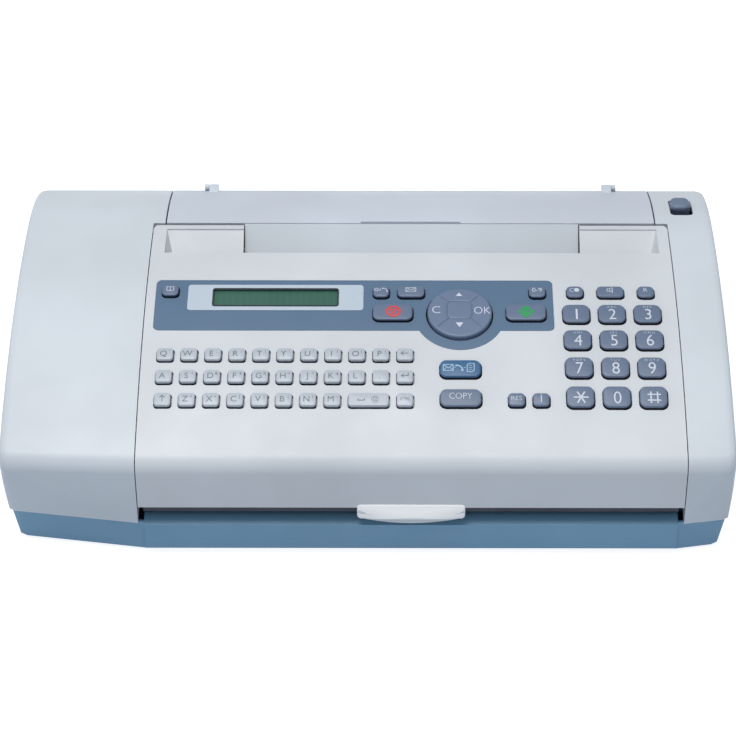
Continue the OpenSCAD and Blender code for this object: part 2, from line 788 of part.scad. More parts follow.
module paper_flap() {
  color("thistle") difference() {
    union() {
      intersection() {
        along_x(frame_x[0] + flap_gap, frame_x[1] - flap_gap) difference() {
          translate(rear_c) circle(rear_r, $fn = big_fn);
          translate(rear_c) circle(rear_r - flap_t, $fn = big_fn);
        }
        box([-far, flap_y0, 60], [far, flap_y1, far]);
      }
      // finger lip along the middle of the front edge
      intersection() {
        along_x(tab_x - tab_w / 2, tab_x + tab_w / 2) difference() {
          translate(rear_c) circle(rear_r + 1.2, $fn = big_fn);
          translate(rear_c) circle(rear_r - flap_t / 2, $fn = big_fn);
        }
        translate([tab_x, flap_y0 - 88, 60]) cylinder(r = 94, h = far, $fn = big_fn);
        box([-far, flap_y0, 60], [far, flap_y1, far]);
      }
      for (b = barrel_x) {
        rod_x(barrel_r, b[0], b[1], flap_hinge[0], flap_hinge[1]);
        along_x(b[0], b[1]) polygon([
          [flap_y1 - 5, rear_z(flap_y1 - 5) - 1], [flap_y1, rear_z(flap_y1) - 1],
          flap_hinge + [-1.4, -1.1], flap_hinge, flap_hinge + [0, barrel_r],
          [flap_y1 - 2, flap_hinge[1] + 1.4]]);
      }
    }
    for (b = barrel_x) rod_x(post_pin_r + run, b[0] - 1, b[1] + 1, flap_hinge[0], flap_hinge[1]);
  }
}

module rear_frame() {
  color("whitesmoke") difference() {
    union() {
      frame_back_wall();
      for (x = [frame_x[0] + clear, frame_x[1] - clear - plate_t]) frame_side(x);
      frame_bridge();
      frame_ramp();
      box([frame_x[0] + clear, 12, 62], [frame_x[1] - clear, 32, 65]);
      along_x(frame_x[0] + clear, frame_x[1] - clear) polygon(let (
        e = [well_end_y, well_top[1] - (well_top[0] - well_end_y) * tan(well_slope)])
        [well_top, e, e - [0, plate_t], well_top - [0, plate_t]]);
      for (i = [0, 1]) flap_post(i);
    }
    bearing_holes();
  }
}

module frame_back_wall() {
  intersection() {
    along_x(frame_x[0] + clear, frame_x[1] - clear) difference() {
      polygon(section_points(front_y, back_y, rim_z + clear, 0));
      polygon(section_points(front_y, back_y, rim_z + clear - 1, wall));
    }
    box([-far, flap_y1 + 0.7, 0], [far, far, far]);
  }
}

module frame_side(x) {
  along_x(x, x + plate_t) intersection() {
    polygon(section_points(front_y, back_y, floor_z + clear, flap_t + 0.8));
    polygon([[12, floor_z + clear], [12, 91], [32, 91], [35, 88], [flap_y0 + 0.6, 88],
             [flap_y0 + 0.6, far], [back_y - 3.6, far], [back_y - 3.6, floor_z + clear]]);
  }
  along_x(x, x + plate_t) polygon([[back_y - 9, rim_z + 1], [back_y - 9, well_top[1]],
                                   [back_y - 1, well_top[1]], [back_y - 1, rim_z + 1]]);
}

// Full-width guide under the slot, with a wall that the flap's front edge rests over.
module frame_bridge() {
  along_x(frame_x[0] + clear, frame_x[1] - clear) polygon([
    [35, 80.5], [48, bridge_z], [flap_y0 + 0.6, bridge_z],
    [flap_y0 + 0.6, rear_z(flap_y0) - flap_t - clear], [flap_y0 + 2.6, rear_z(flap_y0) - flap_t - clear],
    [flap_y0 + 2.6, bridge_z - 2], [48.3, bridge_z - 2], [35, 78.5]]);
}

// Ramp that an original slides down, in the notch of the lid.
module frame_ramp() {
  a = [lid_y1 + 1.2, top_z(lid_y1) - 0.6];
  along_x(slot_x0 + 0.6, slot_x1 - 0.6) polygon([
    a, [48, bridge_z + 2.5], [44, bridge_z - 1], [50, bridge_z - 0.5],
    [lid_y1 + 1.6, a[1] - 3], [lid_y1 + 1.6, a[1]]]);
}

module flap_post(i) {
  p = post_x[i];
  box([p[0], flap_hinge[0] - 1.3, edge_c[1]], [p[1], flap_hinge[0] + 1.3, flap_hinge[1]]);
  rod_x(1.9, p[0], p[1], flap_hinge[0], flap_hinge[1]);
  rod_x(post_pin_r, i ? p[0] - post_pin : p[0], i ? p[1] : p[1] + post_pin, flap_hinge[0], flap_hinge[1]);
}

module bearing_holes() {
  for (x = [frame_x[0], frame_x[1] - clear - plate_t - 1]) {
    rod_x(shaft_r + run, x, x + plate_t + 2, doc_c[0], doc_c[1]);
    rod_x(shaft_r + run, x, x + plate_t + 2, pick_c[0], pick_c[1]);
    rod_x(lift_pin_r + run, x, x + plate_t + 2, lift_hinge[0], lift_hinge[1]);
  }
}

// Axle through both side plates, with rubber drums on it.
module roller(c, r, drum_w, drums) {
  rod_x(shaft_r, frame_x[0] + clear, frame_x[1] - clear, c[0], c[1]);
  for (x = drums) rod_x(r, x - drum_w / 2, x + drum_w / 2, c[0], c[1]);
}
mid_x = slot_x0 + slot_w / 2;
drum_step = 43;

module document_roller() {
  color("dimgray") roller(doc_c, doc_r, 24, [for (i = [-2:2]) mid_x + i * drum_step]);
}

module pickup_roller() {
  color("dimgray") roller(pick_c, pick_r, 18, [mid_x - drum_step, mid_x + drum_step]);
}

module pressure_plate() {
  x0 = frame_x[0] + clear + plate_t;
  x1 = frame_x[1] - clear - plate_t;
  color("silver") union() {
    translate([0, lift_hinge[0], lift_hinge[1]]) rotate([lift_slope, 0, 0]) difference() {
      box([x0 + 1, -lift_len, -lift_t / 2], [x1 - 1, 0, lift_t / 2]);
      for (i = [-3:3]) box([mid_x + i * drum_step - 4, 10 - lift_len, -2],
                           [mid_x + i * drum_step + 4, -20, 2]);
    }
    rod_x(lift_pin_r, x0 - plate_t + 0.2, x1 + plate_t - 0.2, lift_hinge[0], lift_hinge[1]);
  }
}

module paper_lever() {
  head_z = rear_z(lever_y);
  color("slategray") {
    rod_x(lever_pin_r, lid_x1 + seam + 0.2, lever_ear[1] - 0.2, lever_y, lever_pivot_z);
    rod_x(4, lever_x - 4, lever_x + 4, lever_y, lever_pivot_z);
    box([lever_x - 4, lever_y - 2.5, lever_pivot_z], [lever_x + 4, lever_y + 2.5, head_z - 3]);
    intersection() {
      translate([lever_x, lever_y + 1.5, head_z - 7]) linear_extrude(20) rounded(lever_w, 12, 4);
      along_x(0, far) translate(rear_c) circle(rear_r + 1.5, $fn = big_fn);
    }
    // curved shield that keeps the slot closed as the lever swings
    translate([lever_x - lever_w / 2, lever_y, lever_pivot_z]) rotate([90, 0, 90])
      linear_extrude(lever_w) intersection() {
        difference() {
          circle(lever_shield[1], $fn = round_fn);
          circle(lever_shield[0], $fn = round_fn);
        }
        polygon([[0, 0], [far, far / 3], [far, far], [-far, far], [-far, far / 6]]);
      }
  }
}

// ---- print engine ----------------------------------------------------------
plate_y = -22.5;                     // front face of the chassis back plate
sheet = 1.5;                         // chassis sheet
chassis_x = [-204, 181.5];
chassis_z = 76;
chassis_y0 = -93;
feed_c = [-34, 36];
exit_c = [feed_c[0] - 50, feed_c[1]];
gear_r = gear_module * gear_teeth / 2;
pinion_r = gear_module * pinion_teeth / 2;
pinion_c = [(feed_c[0] + exit_c[0]) / 2,
            feed_c[1] - sqrt(pow(gear_r + pinion_r, 2) - pow((feed_c[0] - exit_c[0]) / 2, 2))];
gear_x = [183.2, 188.2];
feed_shaft_r = 3;
rod_c = [-43, 58];
belt_y = [-31, -27];
belt_z = 62;
belt_t = 1.2;
pulley_x = [-192, 170];
pulley_shaft_r = 1.5;
platen_z = 41.5;
platen_x = [mid_x - 111, mid_x + 111];

module print_frame() {
  color("silver") {
    difference() {
      union() {
        box([chassis_x[0], plate_y, floor_z + clear], [chassis_x[1], plate_y + sheet, chassis_z]);
        box([chassis_x[0], plate_y - 10.5, chassis_z - sheet],
            [chassis_x[1], plate_y + sheet, chassis_z]);
        for (x = [chassis_x[0], chassis_x[1] - sheet])
          box([x, chassis_y0, floor_z + clear], [x + sheet, plate_y + sheet, rod_c[1] + 9]);
      }
      box([platen_x[0] - 3, plate_y - 1, 33], [platen_x[1] + 3, plate_y + sheet + 1, 50]);
      for (c = [feed_c, exit_c])
        rod_x(feed_shaft_r + run, chassis_x[0] - 1, chassis_x[1] + 1, c[0], c[1]);
      rod_x(rod_r + run, chassis_x[0] - 1, chassis_x[1] + 1, rod_c[0], rod_c[1]);
      rod_x(pulley_shaft_r + 1, chassis_x[1] - 3, chassis_x[1] + 1, pinion_c[0], pinion_c[1]);
      pulley_pin(0, pulley_shaft_r + 1, plate_y - 1, plate_y + sheet + 1);
    }
    pulley_pin(1, pulley_shaft_r, belt_y[0] - 1.6, plate_y + eps);
    platen();
  }
}

module pulley_pin(i, r, y0, y1) {
  translate([pulley_x[i], y1, belt_z]) rotate([90, 0, 0]) cylinder(r = r, h = y1 - y0, $fn = 48);
}

// Ribbed bed under the ink nozzles, on two webs from the chassis floor.
module platen() {
  y0 = exit_c[0] + feed_r + 5;
  y1 = feed_c[0] - feed_r - 5;
  box([platen_x[0], y0, platen_z - 6], [platen_x[1], y1, platen_z - 2]);
  for (i = [0:12]) box([platen_x[0] + 4 + i * 17.6, y0, platen_z - 2 - eps],
                       [platen_x[0] + 6 + i * 17.6, y1, platen_z]);
  for (y = [y0 + 2, y1 - 3.5]) box([platen_x[0], y, floor_z + clear], [platen_x[1], y + 1.5, platen_z - 5]);
  box([platen_x[0], y0 + 2, floor_z + clear], [platen_x[1], plate_y + eps, floor_z + clear + sheet]);
}

module guide_rod() {
  color("silver") rod_x(rod_r, chassis_x[0] + 0.1, chassis_x[1] - 0.1, rod_c[0], rod_c[1]);
}

carriage_x = chassis_x[0] + sheet + carriage_w / 2 + 4.5;
car_z = [45, 68];
car_y = [-80, -36];
car_wall = 2;
clamp_w = 8;                         // half width of the belt clamp

module carriage() {
  w = carriage_w / 2;
  under = belt_z - pulley_r - belt_t;
  color("dimgray") translate([carriage_x, 0, 0]) difference() {
    union() {
      box([-w, car_y[0], car_z[0]], [w, rod_c[0] - 6, 60]);
      box([-w, rod_c[0] - 7, car_z[0] + 4], [w, car_y[1], car_z[1]]);
      box([-clamp_w, car_y[1] - 4, 50], [clamp_w, car_y[1], chassis_z - sheet - clear]);
      box([-clamp_w, car_y[1] - eps, under - 3], [clamp_w, belt_y[1] + 0.5, under + 4.5]);
      box([-clamp_w, car_y[1] - eps, chassis_z - sheet - clear - 4],
          [clamp_w, plate_y - 3, chassis_z - sheet - clear]);
    }
    box([car_wall - w, car_y[0] + car_wall, car_z[0] + car_wall], [w - car_wall, rod_c[0] - 7, far]);
    box([-8, car_y[0] + 7, 0], [8, car_y[0] + 21, far]);
    rod_x(rod_r + run, -w - 1, w + 1, rod_c[0], rod_c[1]);
    box([-far, belt_y[0] - clear, under - clear], [far, far, under + belt_t + clear]);
  }
}

module ink_cartridge() {
  w = carriage_w / 2 - car_wall - clear;
  y0 = car_y[0] + car_wall + clear;
  y1 = rod_c[0] - 7 - clear;
  z0 = car_z[0] + car_wall + clear / 3;
  color("darkslategray") translate([carriage_x, 0, 0]) difference() {
    union() {
      along_x(-w, w) polygon([[y0, z0], [y0, 66], [y0 + 3, 72], [y1 - 2, 74], [y1, 72], [y1, z0]]);
      box([-7, car_y[0] + 8, platen_z + 2], [7, car_y[0] + 20, z0 + 1]);
    }
    box([-w - 1, y0 + 8, 70.5], [-w + 8, y1 - 8, far]);
    box([w - 8, y0 + 8, 70.5], [w + 1, y1 - 8, far]);
  }
}

module belt_plan(r) {
  for (x = pulley_x) translate([x, 0]) circle(r, $fn = round_fn);
  translate([pulley_x[0], -r]) square([pulley_x[1] - pulley_x[0], 2 * r]);
}

module drive_belt() {
  color("black") translate([0, belt_y[1], belt_z]) rotate([90, 0, 0])
    linear_extrude(belt_y[1] - belt_y[0]) difference() {
      belt_plan(pulley_r + belt_t);
      belt_plan(pulley_r + run);
    }
}

module pulley(i) {
  pulley_pin(i, pulley_r, belt_y[0] - 1, belt_y[1] + 1);
  pulley_pin(i, pulley_r + 2, belt_y[0] - 1, belt_y[0] - 0.2);
  pulley_pin(i, pulley_r + 2, belt_y[1] + 0.2, belt_y[1] + 1);
}

module motor_pulley() {
  color("silver") {
    pulley(0);
    pulley_pin(0, pulley_shaft_r, belt_y[1], plate_y + 12);
  }
}

module idler_pulley() {
  color("white") difference() {
    pulley(1);
    pulley_pin(1, pulley_shaft_r + run, belt_y[0] - 3, belt_y[1] + 3);
  }
}

motor_r = 12;
motor_len = 24;
module carriage_motor() {
  color("gray") difference() {
    pulley_pin(0, motor_r, plate_y + sheet + 0.1, plate_y + sheet + 0.1 + motor_len);
    pulley_pin(0, pulley_shaft_r + run, plate_y, plate_y + 13);
  }
}

module feed_motor() {
  x1 = chassis_x[1] - sheet - 0.1;
  color("gray") difference() {
    rod_x(motor_r, x1 - motor_len + 2, x1, pinion_c[0], pinion_c[1]);
    rod_x(pulley_shaft_r + run, x1 - 12, x1 + 1, pinion_c[0], pinion_c[1]);
  }
}

// Spur gear: straight-flanked teeth set a little narrow, so that the mesh has play.
module gear(n, bore_r, phase) {
  root = gear_module * (n / 2 - 1.25);
  tip = gear_module * (n / 2 + 0.9);
  pitch = gear_module * n / 2;
  step = 360 / n;
  linear_extrude(gear_x[1] - gear_x[0]) difference() {
    union() {
      circle(root, $fn = round_fn);
      for (i = [0:n - 1]) rotate(phase + i * step) polygon([
        [root - 0.5, -gear_module * 0.95], [root, -gear_module * 0.95],
        [pitch, -gear_module * 0.66], [tip, -gear_module * 0.3],
        [tip, gear_module * 0.3], [pitch, gear_module * 0.66],
        [root, gear_module * 0.95], [root - 0.5, gear_module * 0.95]]);
    }
    if (bore_r > 0) circle(bore_r, $fn = 48);
  }
}

// Gear on an X axis at c; phase counts from +Y towards +Z.
module gear_at(c, n, phase) {
  translate([gear_x[0], c[0], c[1]]) rotate([90, 0, 90]) gear(n, 0, phase);
}
to_feed_a = atan2(feed_c[1] - pinion_c[1], feed_c[0] - pinion_c[0]);
to_exit_a = atan2(exit_c[1] - pinion_c[1], exit_c[0] - pinion_c[0]);

// Shaft with rubber drums between the side plates and a gear outside the right one.
module driven_roller(c, phase, drum_w, n) {
  rod_x(feed_shaft_r, chassis_x[0] + 0.1, gear_x[1], c[0], c[1]);
  for (i = [0:n - 1]) let (x = mid_x + (i - (n - 1) / 2) * slot_w / n)
    rod_x(feed_r, x - drum_w / 2, x + drum_w / 2, c[0], c[1]);
  gear_at(c, gear_teeth, phase);
}

module feed_roller() {
  color("dimgray") driven_roller(feed_c, to_feed_a + 180, 36, 5);
}

// The pinion's teeth are set for the feed gear, so the exit gear is turned until its
// spaces meet them as well.
module exit_roller() {
  off = to_feed_a + 180 / pinion_teeth - to_exit_a;
  color("dimgray") driven_roller(
    exit_c, to_exit_a + 180 - off * pinion_teeth / gear_teeth + 180 / gear_teeth, 12, 7);
}

module motor_pinion() {
  color("beige") {
    gear_at(pinion_c, pinion_teeth, to_feed_a + 180 / pinion_teeth);
    rod_x(pulley_shaft_r, chassis_x[1] - sheet - 11, gear_x[1], pinion_c[0], pinion_c[1]);
  }
}

module image_sensor() {
  color("black") difference() {
    box([platen_x[0], 13.5, 65.1], [platen_x[1], 30.5, doc_c[1] - doc_r - 0.5]);
    box([platen_x[0] + 2, doc_c[0] - 5, doc_c[1] - doc_r - 1.2], [platen_x[1] - 2, doc_c[0] + 5, far]);
  }
}

// ---- electronics -----------------------------------------------------------
pcb_t = 1.6;
module main_board() {
  color("seagreen") {
    box([-123, 41, board_z], [63, 113, board_z + pcb_t]);
    for (x = jack_x) box([x - jack_w / 2 + 0.5, 104, board_z + pcb_t - eps],
                         [x + jack_w / 2 - 0.5, back_y - 3.2, jack_z[1] - 0.5]);
    for (p = [[-60, 60, 24, 24, 3], [-20, 62, 18, 18, 2.5], [10, 58, 14, 20, 2.5], [-96, 60, 20, 16, 6]])
      box([p[0], p[1], board_z + pcb_t - eps], [p[0] + p[2], p[1] + p[3], board_z + pcb_t + p[4]]);
    for (x = [-50:12:-14]) translate([x, 98, board_z + pcb_t - eps]) cylinder(r = 4, h = 12, $fn = 32);
    translate([38, 92, board_z + pcb_t - eps]) cylinder(r = 14, h = 9, $fn = 48);
  }
}

module power_supply() {
  color("goldenrod") {
    box([-206, 30, board_z], [-146, 118, board_z + pcb_t]);
    box([inlet_x - inlet_w / 2 + 0.5, 106, board_z + pcb_t - eps],
        [inlet_x + inlet_w / 2 - 0.5, back_y - 3.2, inlet_z[1] - 0.5]);
    box([-192, 56, board_z + pcb_t - eps], [-160, 84, board_z + 26]);
    for (x = [-198, -184, -170]) translate([x, 44, board_z + pcb_t - eps]) cylinder(r = 6, h = 24, $fn = 32);
  }
}

base_tray();
left_cover();
right_cover();
rear_frame();
panel_lid();
panel_overlay();
display_bezel();
display_module();
panel_board();
paper_flap();
paper_lever();
pressure_plate();
pickup_roller();
print_frame();
guide_rod();
carriage();
ink_cartridge();
drive_belt();
carriage_motor();
motor_pulley();
idler_pulley();
feed_roller();
exit_roller();
feed_motor();
motor_pinion();
document_roller();
image_sensor();
main_board();
power_supply();
feet();
for (i = [1:9]) number_key(i - 1);
number_key(9);  // key_star
number_key(10);  // key_0
number_key(11);  // key_hash
small_key("contrast");  // key_contrast
small_key("speaker");  // key_speaker
small_key("flash");  // key_flash
small_key("phonebook");  // key_phonebook
small_key("hook");  // key_hook
small_key("mail");  // key_mail
small_key("speed_dial");  // key_speed_dial
small_key("stop");  // key_stop
small_key("start");  // key_start
nav_pivot();
nav_disc();
small_key("message", "steelblue");  // key_message
small_key("copy");  // key_copy
small_key("resolution");  // key_resolution
small_key("info");  // key_info
letter_keys(0);  // letter_keys_top
letter_keys(1);  // letter_keys_middle
letter_keys(2);  // letter_keys_bottom
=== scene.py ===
# %% [markdown]
# # A plain-paper fax machine
# The machine is a low, wide desk unit. Two moulded pods stand at its ends, a hinged operator
# panel lies between them, and a slate-grey housing carries everything on four rubber feet.
# The engineering model already gives every part its place, so this lesson dresses it: rounder
# visible mouldings, key caps with soft edges, printed legends, and a material for each finish.
# All lengths are metres, +X is the operator's right, +Y the back and +Z up.

# %% Load the frame and measure it
import bmesh
import math

import bpy
import numpy as np
from mathutils import Matrix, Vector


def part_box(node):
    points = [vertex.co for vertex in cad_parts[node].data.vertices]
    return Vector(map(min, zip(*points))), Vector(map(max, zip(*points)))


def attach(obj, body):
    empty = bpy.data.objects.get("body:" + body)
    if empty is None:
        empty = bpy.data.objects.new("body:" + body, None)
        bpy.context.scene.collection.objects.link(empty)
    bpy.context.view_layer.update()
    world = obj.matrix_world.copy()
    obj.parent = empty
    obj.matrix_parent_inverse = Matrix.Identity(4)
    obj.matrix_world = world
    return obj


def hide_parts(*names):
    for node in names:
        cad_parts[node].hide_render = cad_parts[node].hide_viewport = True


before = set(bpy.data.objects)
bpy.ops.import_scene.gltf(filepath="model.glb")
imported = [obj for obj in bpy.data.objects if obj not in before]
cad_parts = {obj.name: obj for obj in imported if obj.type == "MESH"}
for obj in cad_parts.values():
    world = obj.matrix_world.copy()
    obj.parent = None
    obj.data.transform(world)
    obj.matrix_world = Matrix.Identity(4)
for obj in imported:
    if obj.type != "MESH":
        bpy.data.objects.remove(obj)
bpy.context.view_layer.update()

# %% [markdown]
# The camera is a long lens that looks down at about forty degrees from the front. A long lens
# keeps the sides nearly parallel, as in a catalogue view. The frame is square. A small
# horizontal shift slides the picture without turning the camera, so the verticals stay upright.

# %% Camera
CAMERA_PLACE = (0.016, -1.2235, 1.0885)
CAMERA_PITCH = 40.6
CAMERA_ROLL = 0.08
FOCAL_LENGTH = 123.3
PICTURE_SHIFT = -0.0363

camera_data = bpy.data.cameras.new("catalogue_lens")
camera_data.lens = FOCAL_LENGTH
camera_data.sensor_width = 36.0
camera_data.shift_x = PICTURE_SHIFT
camera = bpy.data.objects.new("catalogue_camera", camera_data)
camera.location = CAMERA_PLACE
camera.rotation_euler = (Matrix.Rotation(math.radians(90 - CAMERA_PITCH), 4, "X")
                         @ Matrix.Rotation(math.radians(CAMERA_ROLL), 4, "Z")).to_euler()
bpy.context.scene.collection.objects.link(camera)
bpy.context.scene.camera = camera
bpy.context.scene.view_settings.view_transform = "Standard"

# %% [markdown]
# Shader maths reads best as plain sums. `Signal` wraps an output socket, and each operator on it
# adds one Math node. `Finish` is one material: `node` adds any other node with its settings and
# inputs, and `out` sets the sockets of the Principled shader, by number or by link.

# %% Shader expressions
class Signal:
    """An output socket that can stand in a sum; every operator adds one Math node."""

    def __init__(self, finish, socket):
        self.finish = finish
        self.socket = socket

    def math(self, operation, first, second=None):
        values = {0: first} if second is None else {0: first, 1: second}
        return self.finish.node("ShaderNodeMath", {"operation": operation}, values)

    def __add__(self, other):
        return self.math("ADD", self, other)

    def __radd__(self, other):
        return self.math("ADD", other, self)

    def __sub__(self, other):
        return self.math("SUBTRACT", self, other)

    def __rsub__(self, other):
        return self.math("SUBTRACT", other, self)

    def __mul__(self, other):
        return self.math("MULTIPLY", self, other)

    def __rmul__(self, other):
        return self.math("MULTIPLY", other, self)

    def larger(self, other):
        return self.math("MAXIMUM", self, other)

    def wave(self):
        return self.math("SINE", self)

    def ramp(self, low, high, to_low=0.0, to_high=1.0):
        """A smooth step from to_low at low to to_high at high."""
        return self.finish.node(
            "ShaderNodeMapRange", {"interpolation_type": "SMOOTHSTEP"},
            {0: self, 1: low, 2: high, 3: to_low, 4: to_high})


def linear(red, green, blue):
    """Turns a colour on the 0 to 255 screen scale into the linear light that shaders use."""
    screen = np.array([red, green, blue]) / 255.0
    light = np.where(screen <= 0.04045, screen / 12.92, ((screen + 0.055) / 1.055) ** 2.4)
    return (*light.tolist(), 1.0)


def toned(colour, gain=1.0, lift=0.0):
    """A screen colour as linear light, times gain plus lift, held at or below one."""
    light = np.minimum(np.array(linear(*colour)) * gain + lift, 1.0)
    return (*light[:3].tolist(), 1.0)


class Finish:
    """One node-based material made of a Principled shader and the nodes that feed it."""

    def __init__(self, name):
        self.material = bpy.data.materials.new(name)
        self.material.use_nodes = True
        self.tree = self.material.node_tree
        self.tree.nodes.clear()
        self.shader = self.tree.nodes.new("ShaderNodeBsdfPrincipled")
        output = self.tree.nodes.new("ShaderNodeOutputMaterial")
        self.tree.links.new(self.shader.outputs[0], output.inputs["Surface"])
        place = self.tree.nodes.new("ShaderNodeTexCoord")
        self.place = Signal(self, place.outputs["Object"])

    def node(self, kind, settings=None, inputs=None, output=0):
        """Adds a node: its settings first, then the value or link of each input socket."""
        made = self.tree.nodes.new(kind)
        for key, value in (settings or {}).items():
            setattr(made, key, value)
        for key, value in (inputs or {}).items():
            self.join(made.inputs[key], value)
        return Signal(self, made.outputs[output])

    def join(self, socket, value):
        """Links a signal to a socket, or sets the socket to a plain value."""
        if isinstance(value, Signal):
            self.tree.links.new(value.socket, socket)
        else:
            socket.default_value = value

    def out(self, **inputs):
        """Sets Principled sockets; an underscore in a name stands for a space."""
        for key, value in inputs.items():
            self.join(self.shader.inputs[key.replace("_", " ")], value)
        return self

    def axes(self):
        """The x, y and z of the place, as three signals."""
        made = self.tree.nodes.new("ShaderNodeSeparateXYZ")
        self.join(made.inputs[0], self.place)
        return [Signal(self, made.outputs[i]) for i in range(3)]

    def noise(self, scale, detail=2.0, roughness=0.5, stretch=(1.0, 1.0, 1.0)):
        """Cloudy noise with about scale lumps in a metre, from 0 to 1."""
        spot = self.place
        if stretch != (1.0, 1.0, 1.0):
            spot = self.node("ShaderNodeMapping", None, {"Vector": self.place, "Scale": stretch})
        return self.node("ShaderNodeTexNoise", None,
                         {"Vector": spot, "Scale": scale, "Detail": detail, "Roughness": roughness})

    def blend(self, factor, first, second):
        """A colour between two, by a factor that varies over the surface."""
        sockets = {0: factor, 6: first, 7: second}
        return self.node("ShaderNodeMix", {"data_type": "RGBA"}, sockets, 2)

    def bump(self, height, depth):
        """A normal from a height signal, depth metres from 0 to 1."""
        return self.node("ShaderNodeBump", None, {"Height": height, "Distance": depth})


# %% [markdown]
# Moulded housings are not one flat colour. Their steel moulds are spark-eroded, which leaves a
# fine even grain that scatters light. Handling polishes the grain a little in patches, and dust
# settles in the corners. `moulded_plastic` layers these: grain as bump, patches in the roughness,
# and a very faint drift of tone over some centimetres.

# %% Moulded plastic
def moulded_plastic(name, colour, roughness=0.48, grain=2600.0, depth=2.2e-5, drift=0.035):
    """Spark-eroded plastic: colour drift at 9 lumps a metre and grain lumps a metre of bump."""
    finish = Finish(name)
    tone = finish.noise(9.0, 3.0)
    speck = finish.noise(grain, 2.0, 0.6)
    polish = finish.noise(38.0, 4.0, 0.62)
    shade = finish.blend(tone.ramp(0.3, 0.7), toned(colour, 1 - 2 * drift),
                         toned(colour, 1 + drift))
    worn = polish.ramp(0.42, 0.68)
    rough = roughness + 0.05 * speck - 0.07 * worn
    finish.out(Base_Color=shade, Roughness=rough, Normal=finish.bump(speck, depth))
    return finish.material


PLASTIC_RECIPES = {
    "case_white": [(204, 211, 219)],
    "lid_white": [(206, 211, 217)],
    "flap_lilac": [(201, 208, 220), 0.52],
    "housing_slate": [(114, 157, 187), 0.5, 2600.0, 3e-5],
    "overlay_slate": [(87, 113, 141), 0.42, 5200.0, 0.8e-5, 0.015],
    "key_slate": [(100, 116, 142), 0.4, 3400.0, 1.2e-5, 0.02],
    "key_blue": [(50, 98, 140), 0.4, 3400.0, 1.2e-5, 0.02],
    "key_pale": [(180, 188, 198), 0.38, 3400.0, 1.0e-5, 0.015],
    # Lid white lightened as painted light for the pull tab's sloped face.
    "tab_white": [(250, 250, 251), 0.4, 3400.0, 1.0e-5, 0.01],
    # Dark navy painted shade for key skirts, flanges and the strip under the lid's edge.
    "key_skirt": [(20, 26, 44), 0.6, 3400.0, 1.0e-5, 0.0],
    "navigator_slate": [(105, 121, 149), 0.36, 3400.0, 1.2e-5, 0.02],
    "bezel_pale": [(187, 200, 213), 0.3, 5200.0, 0.6e-5, 0.01],
    "lever_slate": [(108, 122, 146), 0.4, 3000.0, 1.5e-5, 0.02],
    "engine_dark": [(40, 43, 48), 0.42, 1800.0, 3e-5, 0.03],
    "engine_grey": [(122, 128, 136), 0.5, 1800.0, 3e-5, 0.03],
    "cartridge_black": [(24, 25, 28), 0.36, 1500.0, 2e-5, 0.02],
}


def mixed(recipe, table):
    """Makes a material of each row in a table of names and settings, by one recipe."""
    return {name: recipe(name, *settings) for name, settings in table.items()}


FINISHES = mixed(moulded_plastic, PLASTIC_RECIPES)
print("moulded plastics:", len(FINISHES))

# %% [markdown]
# Inside the machine the finishes change: folded sheet steel for the print engine, ground steel
# for shafts, rubber for rollers and feet, and green boards. Each gets its own small recipe with
# the marks its making leaves, such as rolling lines in the sheet and turning rings on a shaft.

# %% Metals, rubber and boards
def rolled_metal(name, colour, roughness=0.34, stretch=(0.04, 1.0, 1.0)):
    """Metal with fine lines along X: noise squeezed in one direction drives tone and gloss."""
    finish = Finish(name)
    lines = finish.noise(900.0, 2.0, 0.5, stretch)
    cloud = finish.noise(30.0, 3.0)
    finish.out(Base_Color=finish.blend(cloud, toned(colour, 0.8), toned(colour)), Metallic=1.0,
               Roughness=roughness + 0.16 * lines + 0.08 * cloud,
               Normal=finish.bump(lines, 1.2e-5))
    return finish.material


def moulded_rubber(name, colour, roughness=0.72):
    """Matt rubber: two sizes of noise, with a dusty bloom on the higher spots."""
    finish = Finish(name)
    grain = finish.noise(1400.0, 3.0, 0.6)
    dust = finish.noise(60.0, 4.0, 0.6)
    bloom = finish.blend(0.5 * dust.ramp(0.45, 0.8), toned(colour), toned(colour, 1.6, 0.01))
    finish.out(Base_Color=bloom, Roughness=roughness + 0.12 * dust,
               Normal=finish.bump(grain, 5e-5))
    return finish.material


def circuit_board(name, top, mask=((24, 84, 58), (46, 122, 80))):
    """Solder mask over a grid of tracks; what stands above top is dark moulded component."""
    finish = Finish(name)
    x, y, z = finish.axes()
    wander = finish.noise(55.0, 1.0)
    tracks = (x * 1900.0 + 14.0 * wander).wave().ramp(0.55, 0.8)
    crossing = (y * 1700.0 + 11.0 * wander).wave().ramp(0.7, 0.9)
    copper = tracks.larger(crossing)
    part = z.ramp(top + 1e-5, top + 1e-4)
    board = finish.blend(copper, linear(*mask[0]), linear(*mask[1]))
    finish.out(Base_Color=finish.blend(part, board, linear(44, 46, 50)), Coat_Weight=0.2,
               Roughness=0.34 + 0.14 * part, Normal=finish.bump(copper, 4e-5))
    return finish.material


FINISHES.update(mixed(rolled_metal, {
    "sheet_steel": [(178, 182, 186)],
    "ground_steel": [(205, 208, 211), 0.18, (1.0, 0.05, 0.05)],
    "motor_steel": [(150, 153, 158), 0.38],
}))
FINISHES.update(mixed(moulded_rubber, {
    "roller_rubber": [(52, 54, 58)],
    "foot_rubber": [(70, 73, 78), 0.8],
    "belt_rubber": [(34, 35, 38)],
}))
BOARD_THICKNESS = 0.0016
ABOVE_EVERYTHING = 1.0
BROWN_MASK = ((122, 92, 50), (146, 116, 70))
board_top = {name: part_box(name)[0][2] + BOARD_THICKNESS for name in ("main_board", "power_supply")}
FINISHES.update(mixed(circuit_board, {
    "board_green": [board_top["main_board"]],
    "board_brown": [board_top["power_supply"], BROWN_MASK],
    "board_panel": [ABOVE_EVERYTHING],
}))

